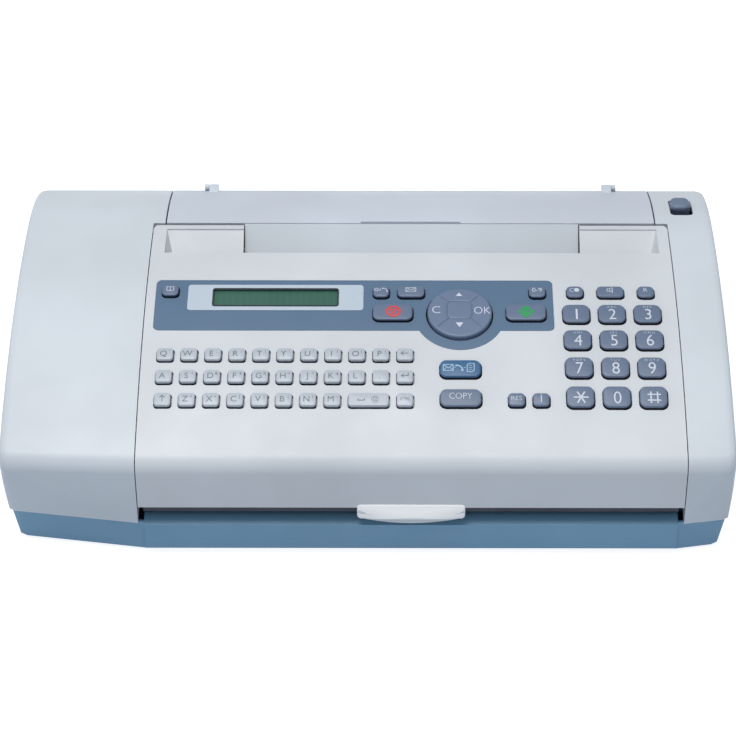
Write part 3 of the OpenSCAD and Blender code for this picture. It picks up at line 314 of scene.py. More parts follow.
# %% [markdown]
# The display is a reflective liquid crystal: a green-grey mirror foil behind glass, with a grid
# of character cells that shows faintly when the set is idle. A fine repeating pattern is a sine
# wave made into a soft step. Print on keys is a thin layer of ink, slightly matt.

# %% Display and print
CHARACTER_PITCH = 0.00415
PIXEL_PITCH = CHARACTER_PITCH / 6


def liquid_crystal(name):
    """Green-grey foil with faint cells: the gaps between dots darken where both waves are low."""
    finish = Finish(name)
    x, y, z = finish.axes()
    turn = 2 * math.pi
    dots_x = (x * (turn / PIXEL_PITCH)).wave().ramp(-0.9, -0.3)
    dots_y = (y * (turn / PIXEL_PITCH)).wave().ramp(-0.9, -0.3)
    cells = (x * (turn / CHARACTER_PITCH)).wave().ramp(-0.86, -0.7)
    film = finish.noise(24.0, 2.0)
    mask = dots_x * dots_y * cells
    glow = finish.blend(film, linear(48, 93, 80), linear(62, 108, 92))
    finish.out(Base_Color=finish.blend(0.3 * mask, glow, linear(34, 66, 58)),
               Roughness=0.3 + 0.1 * film, Coat_Weight=0.15, Coat_Roughness=0.1,
               Normal=finish.bump(mask, 2e-6))
    return finish.material


def printed_ink(name, colour, roughness=0.46):
    """A thin layer of ink: faint pinholes and unevenness of tone."""
    finish = Finish(name)
    fleck = finish.noise(5200.0, 2.0, 0.7)
    finish.out(Base_Color=finish.blend(fleck.ramp(0.35, 0.6), toned(colour, 0.93), toned(colour)),
               Roughness=roughness + 0.1 * fleck, Normal=finish.bump(fleck, 3e-6))
    return finish.material


FINISHES.update(mixed(liquid_crystal, {"display_green": []}))
FINISHES.update(mixed(printed_ink, {
    "ink_white": [(205, 212, 226)],
    "ink_pale_blue": [(158, 190, 216)],
    "ink_grey": [(104, 113, 126)],
    "ink_red": [(214, 66, 66)],
    "ink_green": [(34, 158, 84)],
}))

# %% [markdown]
# Every part of the model now gets its finish. The dictionary groups parts by finish. A part of
# the frame keeps its mesh. A node group joins its loose triangles and smooths the shading where
# neighbouring faces nearly agree.

# %% Finish of each part
FINISH_OF = {
    "case_white": ["left_cover", "right_cover", "rear_frame"],
    "lid_white": ["panel_lid"],
    "flap_lilac": ["paper_flap"],
    "housing_slate": ["base_tray"],
    "overlay_slate": ["panel_overlay"],
    "bezel_pale": ["display_bezel"],
    "lever_slate": ["paper_lever"],
    "navigator_slate": ["nav_disc"],
    "key_blue": ["key_message"],
    "key_pale": ["letter_keys_top", "letter_keys_middle", "letter_keys_bottom"],
    "engine_dark": ["carriage", "nav_pivot", "image_sensor", "motor_pinion"],
    "engine_grey": ["motor_pulley", "idler_pulley"],
    "cartridge_black": ["ink_cartridge"],
    "sheet_steel": ["print_frame", "pressure_plate"],
    "ground_steel": ["guide_rod"],
    "motor_steel": ["carriage_motor", "feed_motor"],
    "roller_rubber": ["pickup_roller", "feed_roller", "exit_roller", "document_roller"],
    "foot_rubber": ["feet"],
    "belt_rubber": ["drive_belt"],
    "board_green": ["main_board"],
    "board_brown": ["power_supply"],
    "board_panel": ["panel_board"],
    "display_green": ["display_module"],
}
finish_by_part = {part: finish for finish, parts in FINISH_OF.items() for part in parts}


def soften(name="joined_and_smoothed", join=2e-5, crease=32.0):
    """A node group: joins points nearer than join, then smooths across creases under crease."""
    group = bpy.data.node_groups.new(name, "GeometryNodeTree")
    for way in ("INPUT", "OUTPUT"):
        group.interface.new_socket("Geometry", in_out=way, socket_type="NodeSocketGeometry")
    entry, leave, merge, angle, flat, faces, edges = (group.nodes.new(kind) for kind in (
        "NodeGroupInput", "NodeGroupOutput", "GeometryNodeMergeByDistance",
        "GeometryNodeInputMeshEdgeAngle", "FunctionNodeCompare",
        "GeometryNodeSetShadeSmooth", "GeometryNodeSetShadeSmooth"))
    merge.inputs["Distance"].default_value = join
    flat.operation = "LESS_THAN"
    flat.inputs[1].default_value = math.radians(crease)
    edges.domain = "EDGE"
    for output, socket in [
            (entry.outputs[0], merge.inputs["Geometry"]),
            (merge.outputs[0], faces.inputs["Geometry"]),
            (faces.outputs[0], edges.inputs["Geometry"]),
            (angle.outputs["Unsigned Angle"], flat.inputs[0]),
            (flat.outputs[0], edges.inputs["Shade Smooth"]),
            (edges.outputs[0], leave.inputs[0])]:
        group.links.new(output, socket)
    return group


SOFTENED = soften()


def add_softening(part):
    """Hangs the smoothing group on a part as a modifier, so its mesh stays as it is."""
    modifier = part.modifiers.new("joined_and_smoothed", "NODES")
    modifier.node_group = SOFTENED


for name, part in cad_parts.items():
    part.data.materials.clear()
    part.data.materials.append(FINISHES[finish_by_part.get(name, "key_slate")])
    add_softening(part)
print("parts with a finish:", len(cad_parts))

# %% [markdown]
# The keys stand in a panel that is part of a long cylinder lying along X. A place on the panel
# is therefore given by x, by u, the distance up the sloping key board, and by a lift above the
# cylinder. `on_panel` walks from the board along its normal until it meets the cylinder of
# radius R + lift, which is one square root for a whole array of places.

# %% The panel's cylinder
MM = 0.001
TOP_RADIUS = 0.420
TOP_CENTRE = np.array([0.0425, 0.106 - TOP_RADIUS])
BOARD_TILT = math.radians(12)
BOARD_FOOT_Y = -0.0435
BOARD_DEPTH = 0.010
UP_BOARD = np.array([math.cos(BOARD_TILT), math.sin(BOARD_TILT)])
OFF_BOARD = np.array([-math.sin(BOARD_TILT), math.cos(BOARD_TILT)])


def top_height(y, lift=0.0):
    """Height of the long curve: centre height plus the root of radius squared less y squared."""
    return TOP_CENTRE[1] + np.sqrt((TOP_RADIUS + lift) ** 2 - (np.asarray(y) - TOP_CENTRE[0]) ** 2)


BOARD_FOOT = np.array([BOARD_FOOT_Y, top_height(BOARD_FOOT_Y) - BOARD_DEPTH])


def up_board(y):
    """The distance u up the board of a point on the long curve at y."""
    return (np.array([y, top_height(y)]) - BOARD_FOOT) @ UP_BOARD


def on_board(x, u, height):
    """Points at a height straight above the key board."""
    spot = BOARD_FOOT + np.multiply.outer(u, UP_BOARD) + np.multiply.outer(height, OFF_BOARD)
    return np.stack([np.broadcast_to(x, spot.shape[:-1]), spot[..., 0], spot[..., 1]], axis=-1)


def on_panel(x, u, lift):
    """Points above (x, u), at a lift above the cylinder: the far root along the board's normal."""
    x, u, lift = np.broadcast_arrays(x, u, lift)
    start = BOARD_FOOT - TOP_CENTRE + np.multiply.outer(u, UP_BOARD)
    along = start @ OFF_BOARD
    height = -along + np.sqrt(along ** 2 - (start ** 2).sum(-1) + (TOP_RADIUS + lift) ** 2)
    return on_board(x, u, height)


print("panel height at the navigator: %.1f mm" % (top_height(-0.021) / MM))

# %% [markdown]
# Most pieces here are stacks of closed rings: the same number of points in every ring, joined to
# the ring above by a band of four-sided faces, and closed at both ends by a fan. The helper
# builds all face indices at once. `new_piece` puts points and faces into a mesh, gives it its
# finish and lets it ride on a body of the machine.

# %% Meshes from stacked rings
def new_piece(name, points, faces, finish, body, smooth=30.0, second=None, patch=()):
    """Makes a mesh object with a finish; faces marked True in patch take the second finish."""
    mesh = bpy.data.meshes.new(name)
    mesh.from_pydata(np.asarray(points).reshape(-1, 3).tolist(), [], [list(f) for f in faces])
    mesh.materials.append(FINISHES[finish])
    if second:
        mesh.materials.append(FINISHES[second])
        mesh.polygons.foreach_set("material_index", np.asarray(patch, dtype=np.int32))
    mesh.shade_smooth()
    mesh.set_sharp_from_angle(angle=math.radians(smooth))
    piece = bpy.data.objects.new(name, mesh)
    bpy.context.scene.collection.objects.link(piece)
    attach(piece, body)
    return piece


def ring_bands(lower, upper, count):
    """Four-sided faces between rings of count points, given the first point of each ring."""
    step = np.arange(count)
    after = (step + 1) % count
    lower, upper = lower[:, None], upper[:, None]
    bands = np.stack([lower + step, lower + after, upper + after, upper + step], -1)
    return bands.reshape(-1, 4).tolist()


def ring_faces(rings, count, first=0):
    """Bands between rings of count points, plus a fan at each end to the two extra end points."""
    start = first + np.arange(rings) * count
    step = np.arange(count)
    after = (step + 1) % count
    low = first + rings * count
    bottom = np.stack([first + after, first + step, np.full(count, low)], -1)
    top = np.stack([start[-1] + step, start[-1] + after, np.full(count, low + 1)], -1)
    return ring_bands(start[:-1], start[1:], count) + bottom.tolist() + top.tolist()


def ring_stack(rings, first=0):
    """Points and faces of closed rings (m, n, 3), with a point at the middle of each end ring."""
    rings = np.asarray(rings)
    ends = np.stack([rings[0].mean(0), rings[-1].mean(0)])
    points = np.concatenate([rings.reshape(-1, 3), ends])
    return points, ring_faces(len(rings), rings.shape[1], first)


def rounded_outline(width, depth, radius, inset=0.0, corner_steps=7):
    """A rounded rectangle drawn in by inset: four quarter circles joined by straight sides."""
    turn = np.linspace(0, math.pi / 2, corner_steps)
    quarter = np.arange(4)[:, None] * math.pi / 2
    angle = quarter + turn
    sign_x = np.array([1, -1, -1, 1])[:, None]
    sign_y = np.array([1, 1, -1, -1])[:, None]
    bend = max(radius - inset, 0.0)
    x = sign_x * (width / 2 - radius) + bend * np.cos(angle)
    y = sign_y * (depth / 2 - radius) + bend * np.sin(angle)
    return np.stack([x.ravel(), y.ravel()], -1)


def quarter_round(radius, steps, start=0.0):
    """Inset and rise along a rounded edge, from its side to its top, in steps of even angle."""
    bend = np.linspace(start, math.pi / 2, steps)
    return zip(radius * (1 - np.cos(bend)), radius * np.sin(bend))


# %% [markdown]
# A key cap is moulded with a rounded edge and a slightly domed top, which catches the light as a
# soft line round the key. Its rings run from the flange under the panel, up the skirt, round the
# edge on a quarter circle and in to the middle. The dome is the product of two parabolas. The
# lower skirt and the flange take a dark finish as painted shade, which draws a fine dark line
# round each key where the gap to the panel would lie in shadow.

# %% Key caps
KEY_LIFT = 2.3 * MM
KEY_EDGE = 0.8 * MM
# The skirt below this height, and the flange, take a dark finish as painted shade in the gap round a
# key.
SHADE_SKIRT = 1.1 * MM
KEY_DOME = 0.35 * MM
FLANGE_WIDTH = 0.9 * MM
FLANGE_DROP = -2.8 * MM
KEY_FOOT = 1.8 * MM
KEY_SLACK = 0.5 * MM
KEY_LEAN = (0.25 * MM, 0.2 * MM)


def dome(x, y, width, depth, height=KEY_DOME):
    """Crown of a key top: height times one less x squared, times one less y squared."""
    return height * (1 - (2 * x / width) ** 2) * (1 - (2 * y / depth) ** 2)


def cap_rings(x, y, width, depth, radius, lift=KEY_LIFT, edge=KEY_EDGE, flange=FLANGE_WIDTH,
              shade_skirt=SHADE_SKIRT):
    """Rings of a cap: flange foot and top, skirt foot, top of the painted shade, edge, inner rings.
    """
    u = up_board(y)
    rings = []
    if flange:
        wide = rounded_outline(width, depth, radius, -flange)
        rings.append(on_board(x + wide[:, 0], u + wide[:, 1], KEY_FOOT))
        rings.append(on_panel(x + wide[:, 0], u + wide[:, 1], FLANGE_DROP))
    x, u = x - KEY_LEAN[0], u + KEY_LEAN[1]
    body = width - KEY_SLACK, depth - KEY_SLACK, radius
    side = rounded_outline(*body)
    rings.append(on_panel(x + side[:, 0], u + side[:, 1], FLANGE_DROP))
    rings.append(on_panel(x + side[:, 0], u + side[:, 1], min(shade_skirt, lift - edge)))
    for inset, rise in quarter_round(edge, 6):
        line = rounded_outline(*body, inset)
        rings.append(on_panel(x + line[:, 0], u + line[:, 1], lift - edge + rise))
    inner = rounded_outline(*body, edge)
    full = width - 2 * edge, depth - 2 * edge
    for share in (0.86, 0.66, 0.4, 0.15):
        line = inner * share
        crown = dome(line[:, 0], line[:, 1], *full)
        rings.append(on_panel(x + line[:, 0], u + line[:, 1], lift + crown))
    return np.array(rings)


NUMBER_SIZE = (17 * MM, 15 * MM, 4 * MM)
NUMBER_X = [128 * MM, 150 * MM, 172 * MM]
NUMBER_Y = [-21.5 * MM, -42 * MM, -62.5 * MM, -83 * MM]
NUMBER_NAMES = ["1", "2", "3", "4", "5", "6", "7", "8", "9", "star", "0", "hash"]
KEY_PLAN = {"key_" + name: (NUMBER_X[i % 3], NUMBER_Y[i // 3], *NUMBER_SIZE)
            for i, name in enumerate(NUMBER_NAMES)}
SINGLE_KEYS = {
    "key_contrast": (128, -3.2, 10.6, 9.8, 3), "key_speaker": (150, -3.2, 17, 9.8, 3),
    "key_flash": (172, -3.2, 10.6, 9.8, 3), "key_phonebook": (-123.3, -2.2, 10.6, 9.8, 3),
    "key_hook": (7.7, -3.2, 10.2, 9.8, 3), "key_mail": (26.2, -3.2, 17, 9.8, 3),
    "key_speed_dial": (104.6, -3.2, 10.6, 9.8, 3), "key_stop": (14.9, -20.4, 24.9, 13.4, 4),
    "key_start": (97.1, -20.4, 24.9, 13.4, 4), "key_message": (56, -63.6, 25.3, 12.8, 4),
    "key_copy": (56, -83.8, 25.3, 12.4, 4), "key_resolution": (89.6, -85, 10.4, 9.4, 2.5),
    "key_info": (104.4, -85, 10.4, 9.4, 2.5),
}
KEY_PLAN.update({name: tuple(np.array(plan) * MM) for name, plan in SINGLE_KEYS.items()})


def shade_skirt_faces(stack, top_from):
    """Marks the faces of a ring stack below the key-coloured top, foot fan included: painted shade.
    """
    count = stack.shape[1]
    bands = np.repeat(np.arange(len(stack) - 1) < top_from, count)
    return np.concatenate([bands, np.ones(count, bool), np.zeros(count, bool)])


for name, plan in KEY_PLAN.items():
    stack = cap_rings(*plan)
    finish = "key_blue" if name == "key_message" else "key_slate"
    # Skirt and flange faces take the dark painted shade; the top keeps the key's colour.
    cap = new_piece("cap_" + name, *ring_stack(stack), finish, name + "_cap", 50.0, "key_skirt",
                    shade_skirt_faces(stack, 3))
    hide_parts(name)
print("single key caps:", len(KEY_PLAN))

# %% [markdown]
# The letter keys of one row are moulded as a strip: a web under the panel joins them, so a row
# is one piece. Its mesh is the web plus one stack of rings for each letter.

# %% Letter rows
LETTER_PITCH = 14.6 * MM
LETTER_X = -123.6 * MM
LETTER_SIZE = (10.4 * MM, 9.4 * MM, 2 * MM)
LETTER_EDGE = 0.7 * MM
# Letter caps take the same painted shade on their skirts below this height, and on the web.
LETTER_SHADE_SKIRT = 0.5 * MM
LETTER_ROWS = {"top": -53.4 * MM, "middle": -69.3 * MM, "bottom": -85.2 * MM}
PLAIN_CELLS = [(column, 1) for column in range(11)]
SPACE_CELLS = [(column, 1) for column in range(8)] + [(8.5, 2), (10, 1)]


def letter_plan(cell, row):
    """Centre and size of a letter key; a wide key spans more than one column."""
    column, span = cell
    width = LETTER_SIZE[0] + (span - 1) * LETTER_PITCH
    return (LETTER_X + column * LETTER_PITCH, LETTER_ROWS[row], width, *LETTER_SIZE[1:])


for row in LETTER_ROWS:
    cells = SPACE_CELLS if row == "bottom" else PLAIN_CELLS
    web_plan = letter_plan((5, 11), row)
    wide = rounded_outline(*web_plan[2:], -FLANGE_WIDTH)
    u = up_board(web_plan[1])
    stacks = [[on_board(web_plan[0] + wide[:, 0], u + wide[:, 1], KEY_FOOT),
               on_panel(web_plan[0] + wide[:, 0], u + wide[:, 1], FLANGE_DROP)]]
    stacks += [cap_rings(*letter_plan(cell, row), edge=LETTER_EDGE, flange=0, shade_skirt=LETTER_SHADE_SKIRT)
               for cell in cells]
    points, faces, shade_skirt = [], [], []
    for stack in stacks:
        more, bands = ring_stack(stack, sum(len(p) for p in points))
        points.append(more)
        faces += bands
        shade_skirt.append(shade_skirt_faces(np.asarray(stack), 1))
    # Each skirt and the web take the dark painted shade.
    strip = new_piece("caps_letters_" + row, np.concatenate(points), faces,
                      "key_pale", "letter_keys_%s_row" % row, 50.0,
                      "key_skirt", np.concatenate(shade_skirt))
    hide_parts("letter_keys_" + row)
print("letter rows:", len(LETTER_ROWS))

# %% [markdown]
# The round navigator key rocks in four directions. Moulded grooves part its four fields from a
# square in the middle that isn't a key. In polar form each ring keeps the same directions: the
# inner rings follow a superellipse, the outer ones a circle, and extra directions crowd round
# the four diagonals so that the narrow grooves stay crisp.

# %% Navigator key
NAVIGATOR = (56 * MM, -21 * MM)
NAVIGATOR_RADIUS = 19.9 * MM
NAVIGATOR_LIFT = 2.8 * MM
NAVIGATOR_EDGE = 1.3 * MM
NAVIGATOR_FOOT = 3.4 * MM
NAVIGATOR_SKIRT = -3 * MM
GROOVE_DEPTH = 0.4 * MM
GROOVE_HALF = 0.42 * MM
SQUARE_HALF = (7.3 * MM, 6.8 * MM)
SQUARE_POWER = 5.0
SQUARE_RISE = 1.8 * MM

even = np.linspace(0, 2 * math.pi, 96, endpoint=False)
crowd = (math.pi / 4 + np.arange(4)[:, None] * math.pi / 2
         + np.radians([-4.5, -3.4, -2.6, -2, -1.5, -1, -0.5, 0, 0.5, 1, 1.5, 2, 2.6, 3.4, 4.5]))
direction = np.unique(np.round(np.concatenate([even, crowd.ravel()]), 6))
square = (np.abs(np.cos(direction) / SQUARE_HALF[0]) ** SQUARE_POWER
          + np.abs(np.sin(direction) / SQUARE_HALF[1]) ** SQUARE_POWER) ** (-1 / SQUARE_POWER)


def groove_profile(distance):
    """One in the middle of a groove and nothing from its half width on: a cosine bell."""
    near = np.clip(np.abs(distance) / GROOVE_HALF, 0, 1)
    return 0.5 + 0.5 * np.cos(math.pi * near)


def rim_reach(radius):
    """From the pattern's middle, which lies off the key's own, to a circle round the key."""
    across = SQUARE_RISE * np.cos(direction)
    return np.sqrt(radius ** 2 - across ** 2) - SQUARE_RISE * np.sin(direction)


def navigator_ring(reach, lift, grooved=False):
    """One ring at a reach in each direction, sunk where a diagonal groove crosses it."""
    a, b = reach * np.cos(direction), reach * np.sin(direction)
    if grooved:
        lift = lift - GROOVE_DEPTH * groove_profile((np.abs(a) - np.abs(b)) / math.sqrt(2))
    return on_panel(NAVIGATOR[0] + a, up_board(NAVIGATOR[1]) + SQUARE_RISE + b, lift)


round_reach = rim_reach(NAVIGATOR_RADIUS)
foot = on_board(NAVIGATOR[0] + round_reach * np.cos(direction),
                up_board(NAVIGATOR[1]) + SQUARE_RISE + round_reach * np.sin(direction),
                NAVIGATOR_FOOT)
rings = [foot, navigator_ring(round_reach, NAVIGATOR_SKIRT)]
for inset, rise in quarter_round(NAVIGATOR_EDGE, 7):
    rings.append(navigator_ring(rim_reach(NAVIGATOR_RADIUS - inset),
                                NAVIGATOR_LIFT - NAVIGATOR_EDGE + rise))
flat_reach = rim_reach(NAVIGATOR_RADIUS - NAVIGATOR_EDGE)
frame_reach = square + 2 * GROOVE_HALF
for share in np.linspace(0.04, 1, 10):
    rings.append(navigator_ring(flat_reach + (frame_reach - flat_reach) * share,
                                NAVIGATOR_LIFT, grooved=True))
for share in (0.7, 0.4, 0.1, -0.2, -0.5, -0.8, -1.0):
    sunk = NAVIGATOR_LIFT - GROOVE_DEPTH * groove_profile(share * GROOVE_HALF)
    rings.append(navigator_ring(square + GROOVE_HALF * (1 + share), sunk))
for share in (0.85, 0.6, 0.3, 0.08):
    rings.append(navigator_ring(square * share, NAVIGATOR_LIFT))
points, faces = ring_stack(rings)
wheel = new_piece("cap_navigator", points, faces, "navigator_slate", "navigator", 50.0)
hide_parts("nav_disc")
print("navigator key faces:", len(faces))

# %% [markdown]
# Legends are pad-printed: thin ink on a curved cap. Letters come from a text curve that is made
# a flat mesh, and signs are ribbons, made by moving a line's points half a width to each side.
# Both are laid in millimetres round the middle of the key and then lifted on to its domed top.

# %% Letters and ribbons
INK_GAP = 0.06 * MM


def letters(text, height, x=0.0, y=0.0, thin=0.0, squeeze=1.0):
    """Flat points and faces of a text in millimetres, round (x, y), with capitals height tall."""
    curve = bpy.data.curves.new("letters", "FONT")
    curve.body = text
    curve.offset = thin
    curve.resolution_u = 4
    made = bpy.data.objects.new("letters", curve)
    bpy.context.scene.collection.objects.link(made)
    bpy.context.view_layer.update()
    graph = bpy.context.evaluated_depsgraph_get()
    mesh = bpy.data.meshes.new_from_object(made.evaluated_get(graph))
    flat = np.array([v.co[:2] for v in mesh.vertices])
    faces = [list(p.vertices) for p in mesh.polygons]
    bpy.data.objects.remove(made)
    bpy.data.curves.remove(curve)
    bpy.data.meshes.remove(mesh)
    flat = flat * (height / CAPITAL_HEIGHT) * (squeeze, 1.0)
    middle = (flat[:, 0].min() + flat[:, 0].max()) / 2
    return flat - (middle, height / 2) + (x, y), faces


CAPITAL_HEIGHT = 1.0
CAPITAL_HEIGHT = float(np.ptp(letters("H", 1.0)[0][:, 1]))
print("capital height of the built-in letters: %.3f" % CAPITAL_HEIGHT)


def ribbon(line, width=0.45, closed=False):
    """A line thickened to a ribbon: each point moves half a width along the mean normal."""
    line = np.array(line, float)
    before = np.roll(line, 1, 0)
    after = np.roll(line, -1, 0)
    if not closed:
        before[0], after[-1] = line[0], line[-1]
    into, away = line - before, after - line
    if not closed:
        into[0], away[-1] = away[0], into[-1]
    into /= np.linalg.norm(into, axis=1, keepdims=True)
    away /= np.linalg.norm(away, axis=1, keepdims=True)
    mean = into + away
    mean /= np.linalg.norm(mean, axis=1, keepdims=True)
    stretch = 1 / np.maximum((mean * into).sum(1, keepdims=True), 0.5)
    side = np.stack([-mean[:, 1], mean[:, 0]], -1) * stretch * width / 2
    count = len(line)
    step = np.arange(count if closed else count - 1)
    nxt = (step + 1) % count
    faces = np.stack([step, step + count, nxt + count, nxt], -1)
    return np.concatenate([line + side, line - side]), faces.tolist()


def arc_line(x, y, radius, start=0.0, end=360.0, steps=24):
    """Points on part of a circle, between two directions in degrees."""
    angle = np.radians(np.linspace(start, end, steps))
    return np.stack([x + radius * np.cos(angle), y + radius * np.sin(angle)], -1)


def filled(line):
    """A filled outline, as one face."""
    line = np.array(line, float)
    return line, [list(range(len(line)))]


def joined(parts):
    """Several flat shapes as one set of points and faces."""
    points, faces = [], []
    for more, shape in parts:
        first = sum(len(p) for p in points)
        points.append(more)
        faces += [[first + i for i in face] for face in shape]
    return np.concatenate(points), faces


def cut_small(points, faces, step=1.1):
    """Cuts flat shapes along the lines of a square grid, so that they can follow a dome."""
    flat = bmesh.new()
    spots = [flat.verts.new((x, y, 0)) for x, y in points]
    for face in faces:
        flat.faces.new([spots[i] for i in face])
    for axis in (0, 1):
        for place in np.arange(points[:, axis].min() + step / 2, points[:, axis].max(), step):
            spot, way = np.zeros(3), np.zeros(3)
            spot[axis], way[axis] = place, 1
            whole = flat.verts[:] + flat.edges[:] + flat.faces[:]
            bmesh.ops.bisect_plane(flat, geom=whole, plane_co=spot, plane_no=way)
    flat.verts.index_update()
    points = np.array([vert.co[:2] for vert in flat.verts])
    faces = [[vert.index for vert in face.verts] for face in flat.faces]
    flat.free()
    return points, faces


def print_legend(name, groups, ink, body, lift=KEY_LIFT, crown=KEY_DOME):
    """Lays groups of flat shapes, in millimetres round their key's middle, on the domed tops."""
    laid = []
    for shapes, plan in groups:
        flat, faces = cut_small(*joined(shapes))
        flat = flat * MM
        x, y, width, depth = plan[:4]
        rise = lift + dome(flat[:, 0], flat[:, 1], width, depth, crown) + INK_GAP
        x, u = x - KEY_LEAN[0], up_board(y) + KEY_LEAN[1]
        laid.append((on_panel(x + flat[:, 0], u + flat[:, 1], rise), faces))
    return new_piece(name, *joined(laid), ink, body)


# %% [markdown]
# Number keys carry a large digit with the letters of the old dial code above it. The one is a
# plain bar, the star has six arms and the hash four strokes.

# %% Number legends
DIGIT_HEIGHT = 8.3
DIGIT_DROP = -1.1
CODE_HEIGHT = 1.6
CODE_RISE = 4.9
CODES = {"2": "ABC", "3": "DEF", "4": "GHI", "5": "JKL", "6": "MNO", "7": "PQRS", "8": "TUV",
         "9": "WXYZ"}
STAR_ARM = 4.5
HASH_HALF = 4.0
HASH_STEP = 2.0
MARK_MIDDLE = np.array([0.4, -0.9])


def star_arms():
    """Three ribbons through one middle, sixty degrees apart."""
    angles = np.radians([0, 60, 120])
    arms = STAR_ARM * np.stack([np.cos(angles), np.sin(angles)], -1)
    return [ribbon([MARK_MIDDLE - arm, MARK_MIDDLE + arm], 0.95) for arm in arms]


def hash_strokes():
    """Two level and two upright ribbons."""
    lines = [[(-HASH_HALF, s), (HASH_HALF, s)] for s in (-HASH_STEP, HASH_STEP)]
    lines += [[(s, -HASH_HALF), (s, HASH_HALF)] for s in (-HASH_STEP, HASH_STEP)]
    return [ribbon(np.array(line) + MARK_MIDDLE, 0.9) for line in lines]


for name in NUMBER_NAMES:
    if name == "1":
        low, high = DIGIT_DROP - DIGIT_HEIGHT / 2, DIGIT_DROP + DIGIT_HEIGHT / 2
        shapes = [ribbon([(0.3, low), (0.3, high)], 1.15)]
    elif name == "star":
        shapes = star_arms()
    elif name == "hash":
        shapes = hash_strokes()
    else:
        shapes = [letters(name, DIGIT_HEIGHT, 0.3, DIGIT_DROP, -0.004, squeeze=0.87)]
        if name in CODES:
            shapes.append(letters(" ".join(CODES[name]), CODE_HEIGHT, 0.2, CODE_RISE, -0.008))
    key = "key_" + name
    print_legend("legend_" + key, [(shapes, KEY_PLAN[key])], "ink_white", key + "_cap")

# %% [markdown]
# The function keys carry signs: an open book for the directory, a ring and a handset for the
# line, envelopes for messages, a loudspeaker, and a half-shaded pair of discs for contrast.

# %% Function legends
def envelope(x, y, width, height, line=0.4):
    """A closed rectangle, its flap as a bent line, and two short seams from the lower corners."""
    left, right, low, high = x - width / 2, x + width / 2, y - height / 2, y + height / 2
    return [ribbon([(left, low), (right, low), (right, high), (left, high)], line, True),
            ribbon([(left, high), (x, y - 0.1 * height), (right, high)], line),
            ribbon([(left, low), (x - 0.2 * width, y)], line * 0.8),
            ribbon([(right, low), (x + 0.2 * width, y)], line * 0.8)]


def handset(x, y, size, line=0.7):
    """A telephone handset: an arc from upper left to lower right with two heavier ends."""
    bow = arc_line(x - 0.55 * size, y - 0.55 * size, 0.95 * size, 88, 2, 12)
    return [ribbon(bow, line), ribbon([bow[1], bow[1] + (-0.2 * size, -0.12 * size)], line * 1.7),
            ribbon([bow[-2], bow[-2] + (-0.12 * size, -0.2 * size)], line * 1.7)]


book = [ribbon([(-2.1, 0.2), (-2.1, 3.6), (0, 3.2), (2.1, 3.6), (2.1, 0.2), (0, -0.2)], 0.4, True),
        ribbon([(0, -0.2), (0, 3.2)], 0.4)]
line_signs = [ribbon(arc_line(-2.9, 2.2, 1.15, steps=20)[:-1], 0.42, True),
              ribbon([(-1.0, 1.0), (0.0, 3.4)], 0.4), *handset(2.6, 2.2, 3.2, 0.5)]
loudspeaker = [ribbon([(-1.9, 1.0), (-1.9, 3.2), (-0.3, 3.2), (-0.3, 1.0)], 0.4, True),
               ribbon([(-0.3, 3.2), (1.3, 4.2), (1.3, 0.1), (-0.3, 1.0)], 0.45)]
contrast = [ribbon(arc_line(-1.6, 2.1, 1.4, 50, 310, 20), 0.42),
            filled(arc_line(1.2, 2.1, 1.65, steps=25)[:-1])]
memo = [*envelope(-7.3, 1.4, 5.9, 4.4, 0.55), ribbon([(-3.9, 1.6), (-2.7, 1.6)], 0.45),
        *handset(-0.3, 1.4, 4.4, 0.8), ribbon([(2.0, 1.4), (3.3, 1.4)], 0.45),
        ribbon([(4.2, -1.6), (4.2, 3.4), (5.3, 4.4), (8.4, 4.4), (8.4, -0.6), (7.2, -1.6)],
               0.55, True),
        *[ribbon([(5.2, y), (7.3, y)], 0.4) for y in (2.8, 1.4, 0.0)]]
FUNCTION_LEGENDS = {
    "key_phonebook": book, "key_hook": line_signs, "key_mail": envelope(0, 2.3, 6.2, 3.3),
    "key_speed_dial": [letters("0-9", 3.3, 0, 2.1, -0.002)], "key_contrast": contrast,
    "key_speaker": loudspeaker, "key_flash": [letters("R", 3.3, 0, 2.2, -0.006)],
    "key_message": memo, "key_copy": [letters("COPY", 4.2, 0, 2.0, -0.012, squeeze=0.88)],
    "key_resolution": [letters("RES", 3.0, 0, 1.7, -0.012)],
    "key_info": [ribbon([(0, -1.2), (0, 3.4)], 0.6), ribbon([(0, 3.9), (0, 4.6)], 0.6)],
}
LEGEND_DROP = 1.2


def lowered(shapes, drop=LEGEND_DROP):
    """Moves flat shapes towards the operator."""
    return [(np.asarray(points) - (0.0, drop), faces) for points, faces in shapes]


for key, shapes in FUNCTION_LEGENDS.items():
    ink = "ink_pale_blue" if key == "key_message" else "ink_white"
    print_legend("legend_" + key, [(lowered(shapes), KEY_PLAN[key])], ink, key + "_cap")

stop_ring = [ribbon(arc_line(0.4, 1.2, 3.9, steps=41)[:-1], 1.5, True),
             ribbon([(-1.5, 2.6), (2.3, 2.6), (0.4, -1.0)], 1.0, True)]
start_sign = [ribbon([(-3.9, 0.9), (0.1, 4.7), (4.1, 0.9), (0.1, -2.9)], 1.9, True),
              ribbon([(0.1, 3.9), (0.1, -2.1)], 1.8)]
for key, shapes, ink in [("key_stop", stop_ring, "ink_red"),
                         ("key_start", start_sign, "ink_green")]:
    print_legend("legend_" + key, [(lowered(shapes), KEY_PLAN[key])], ink, key + "_cap")

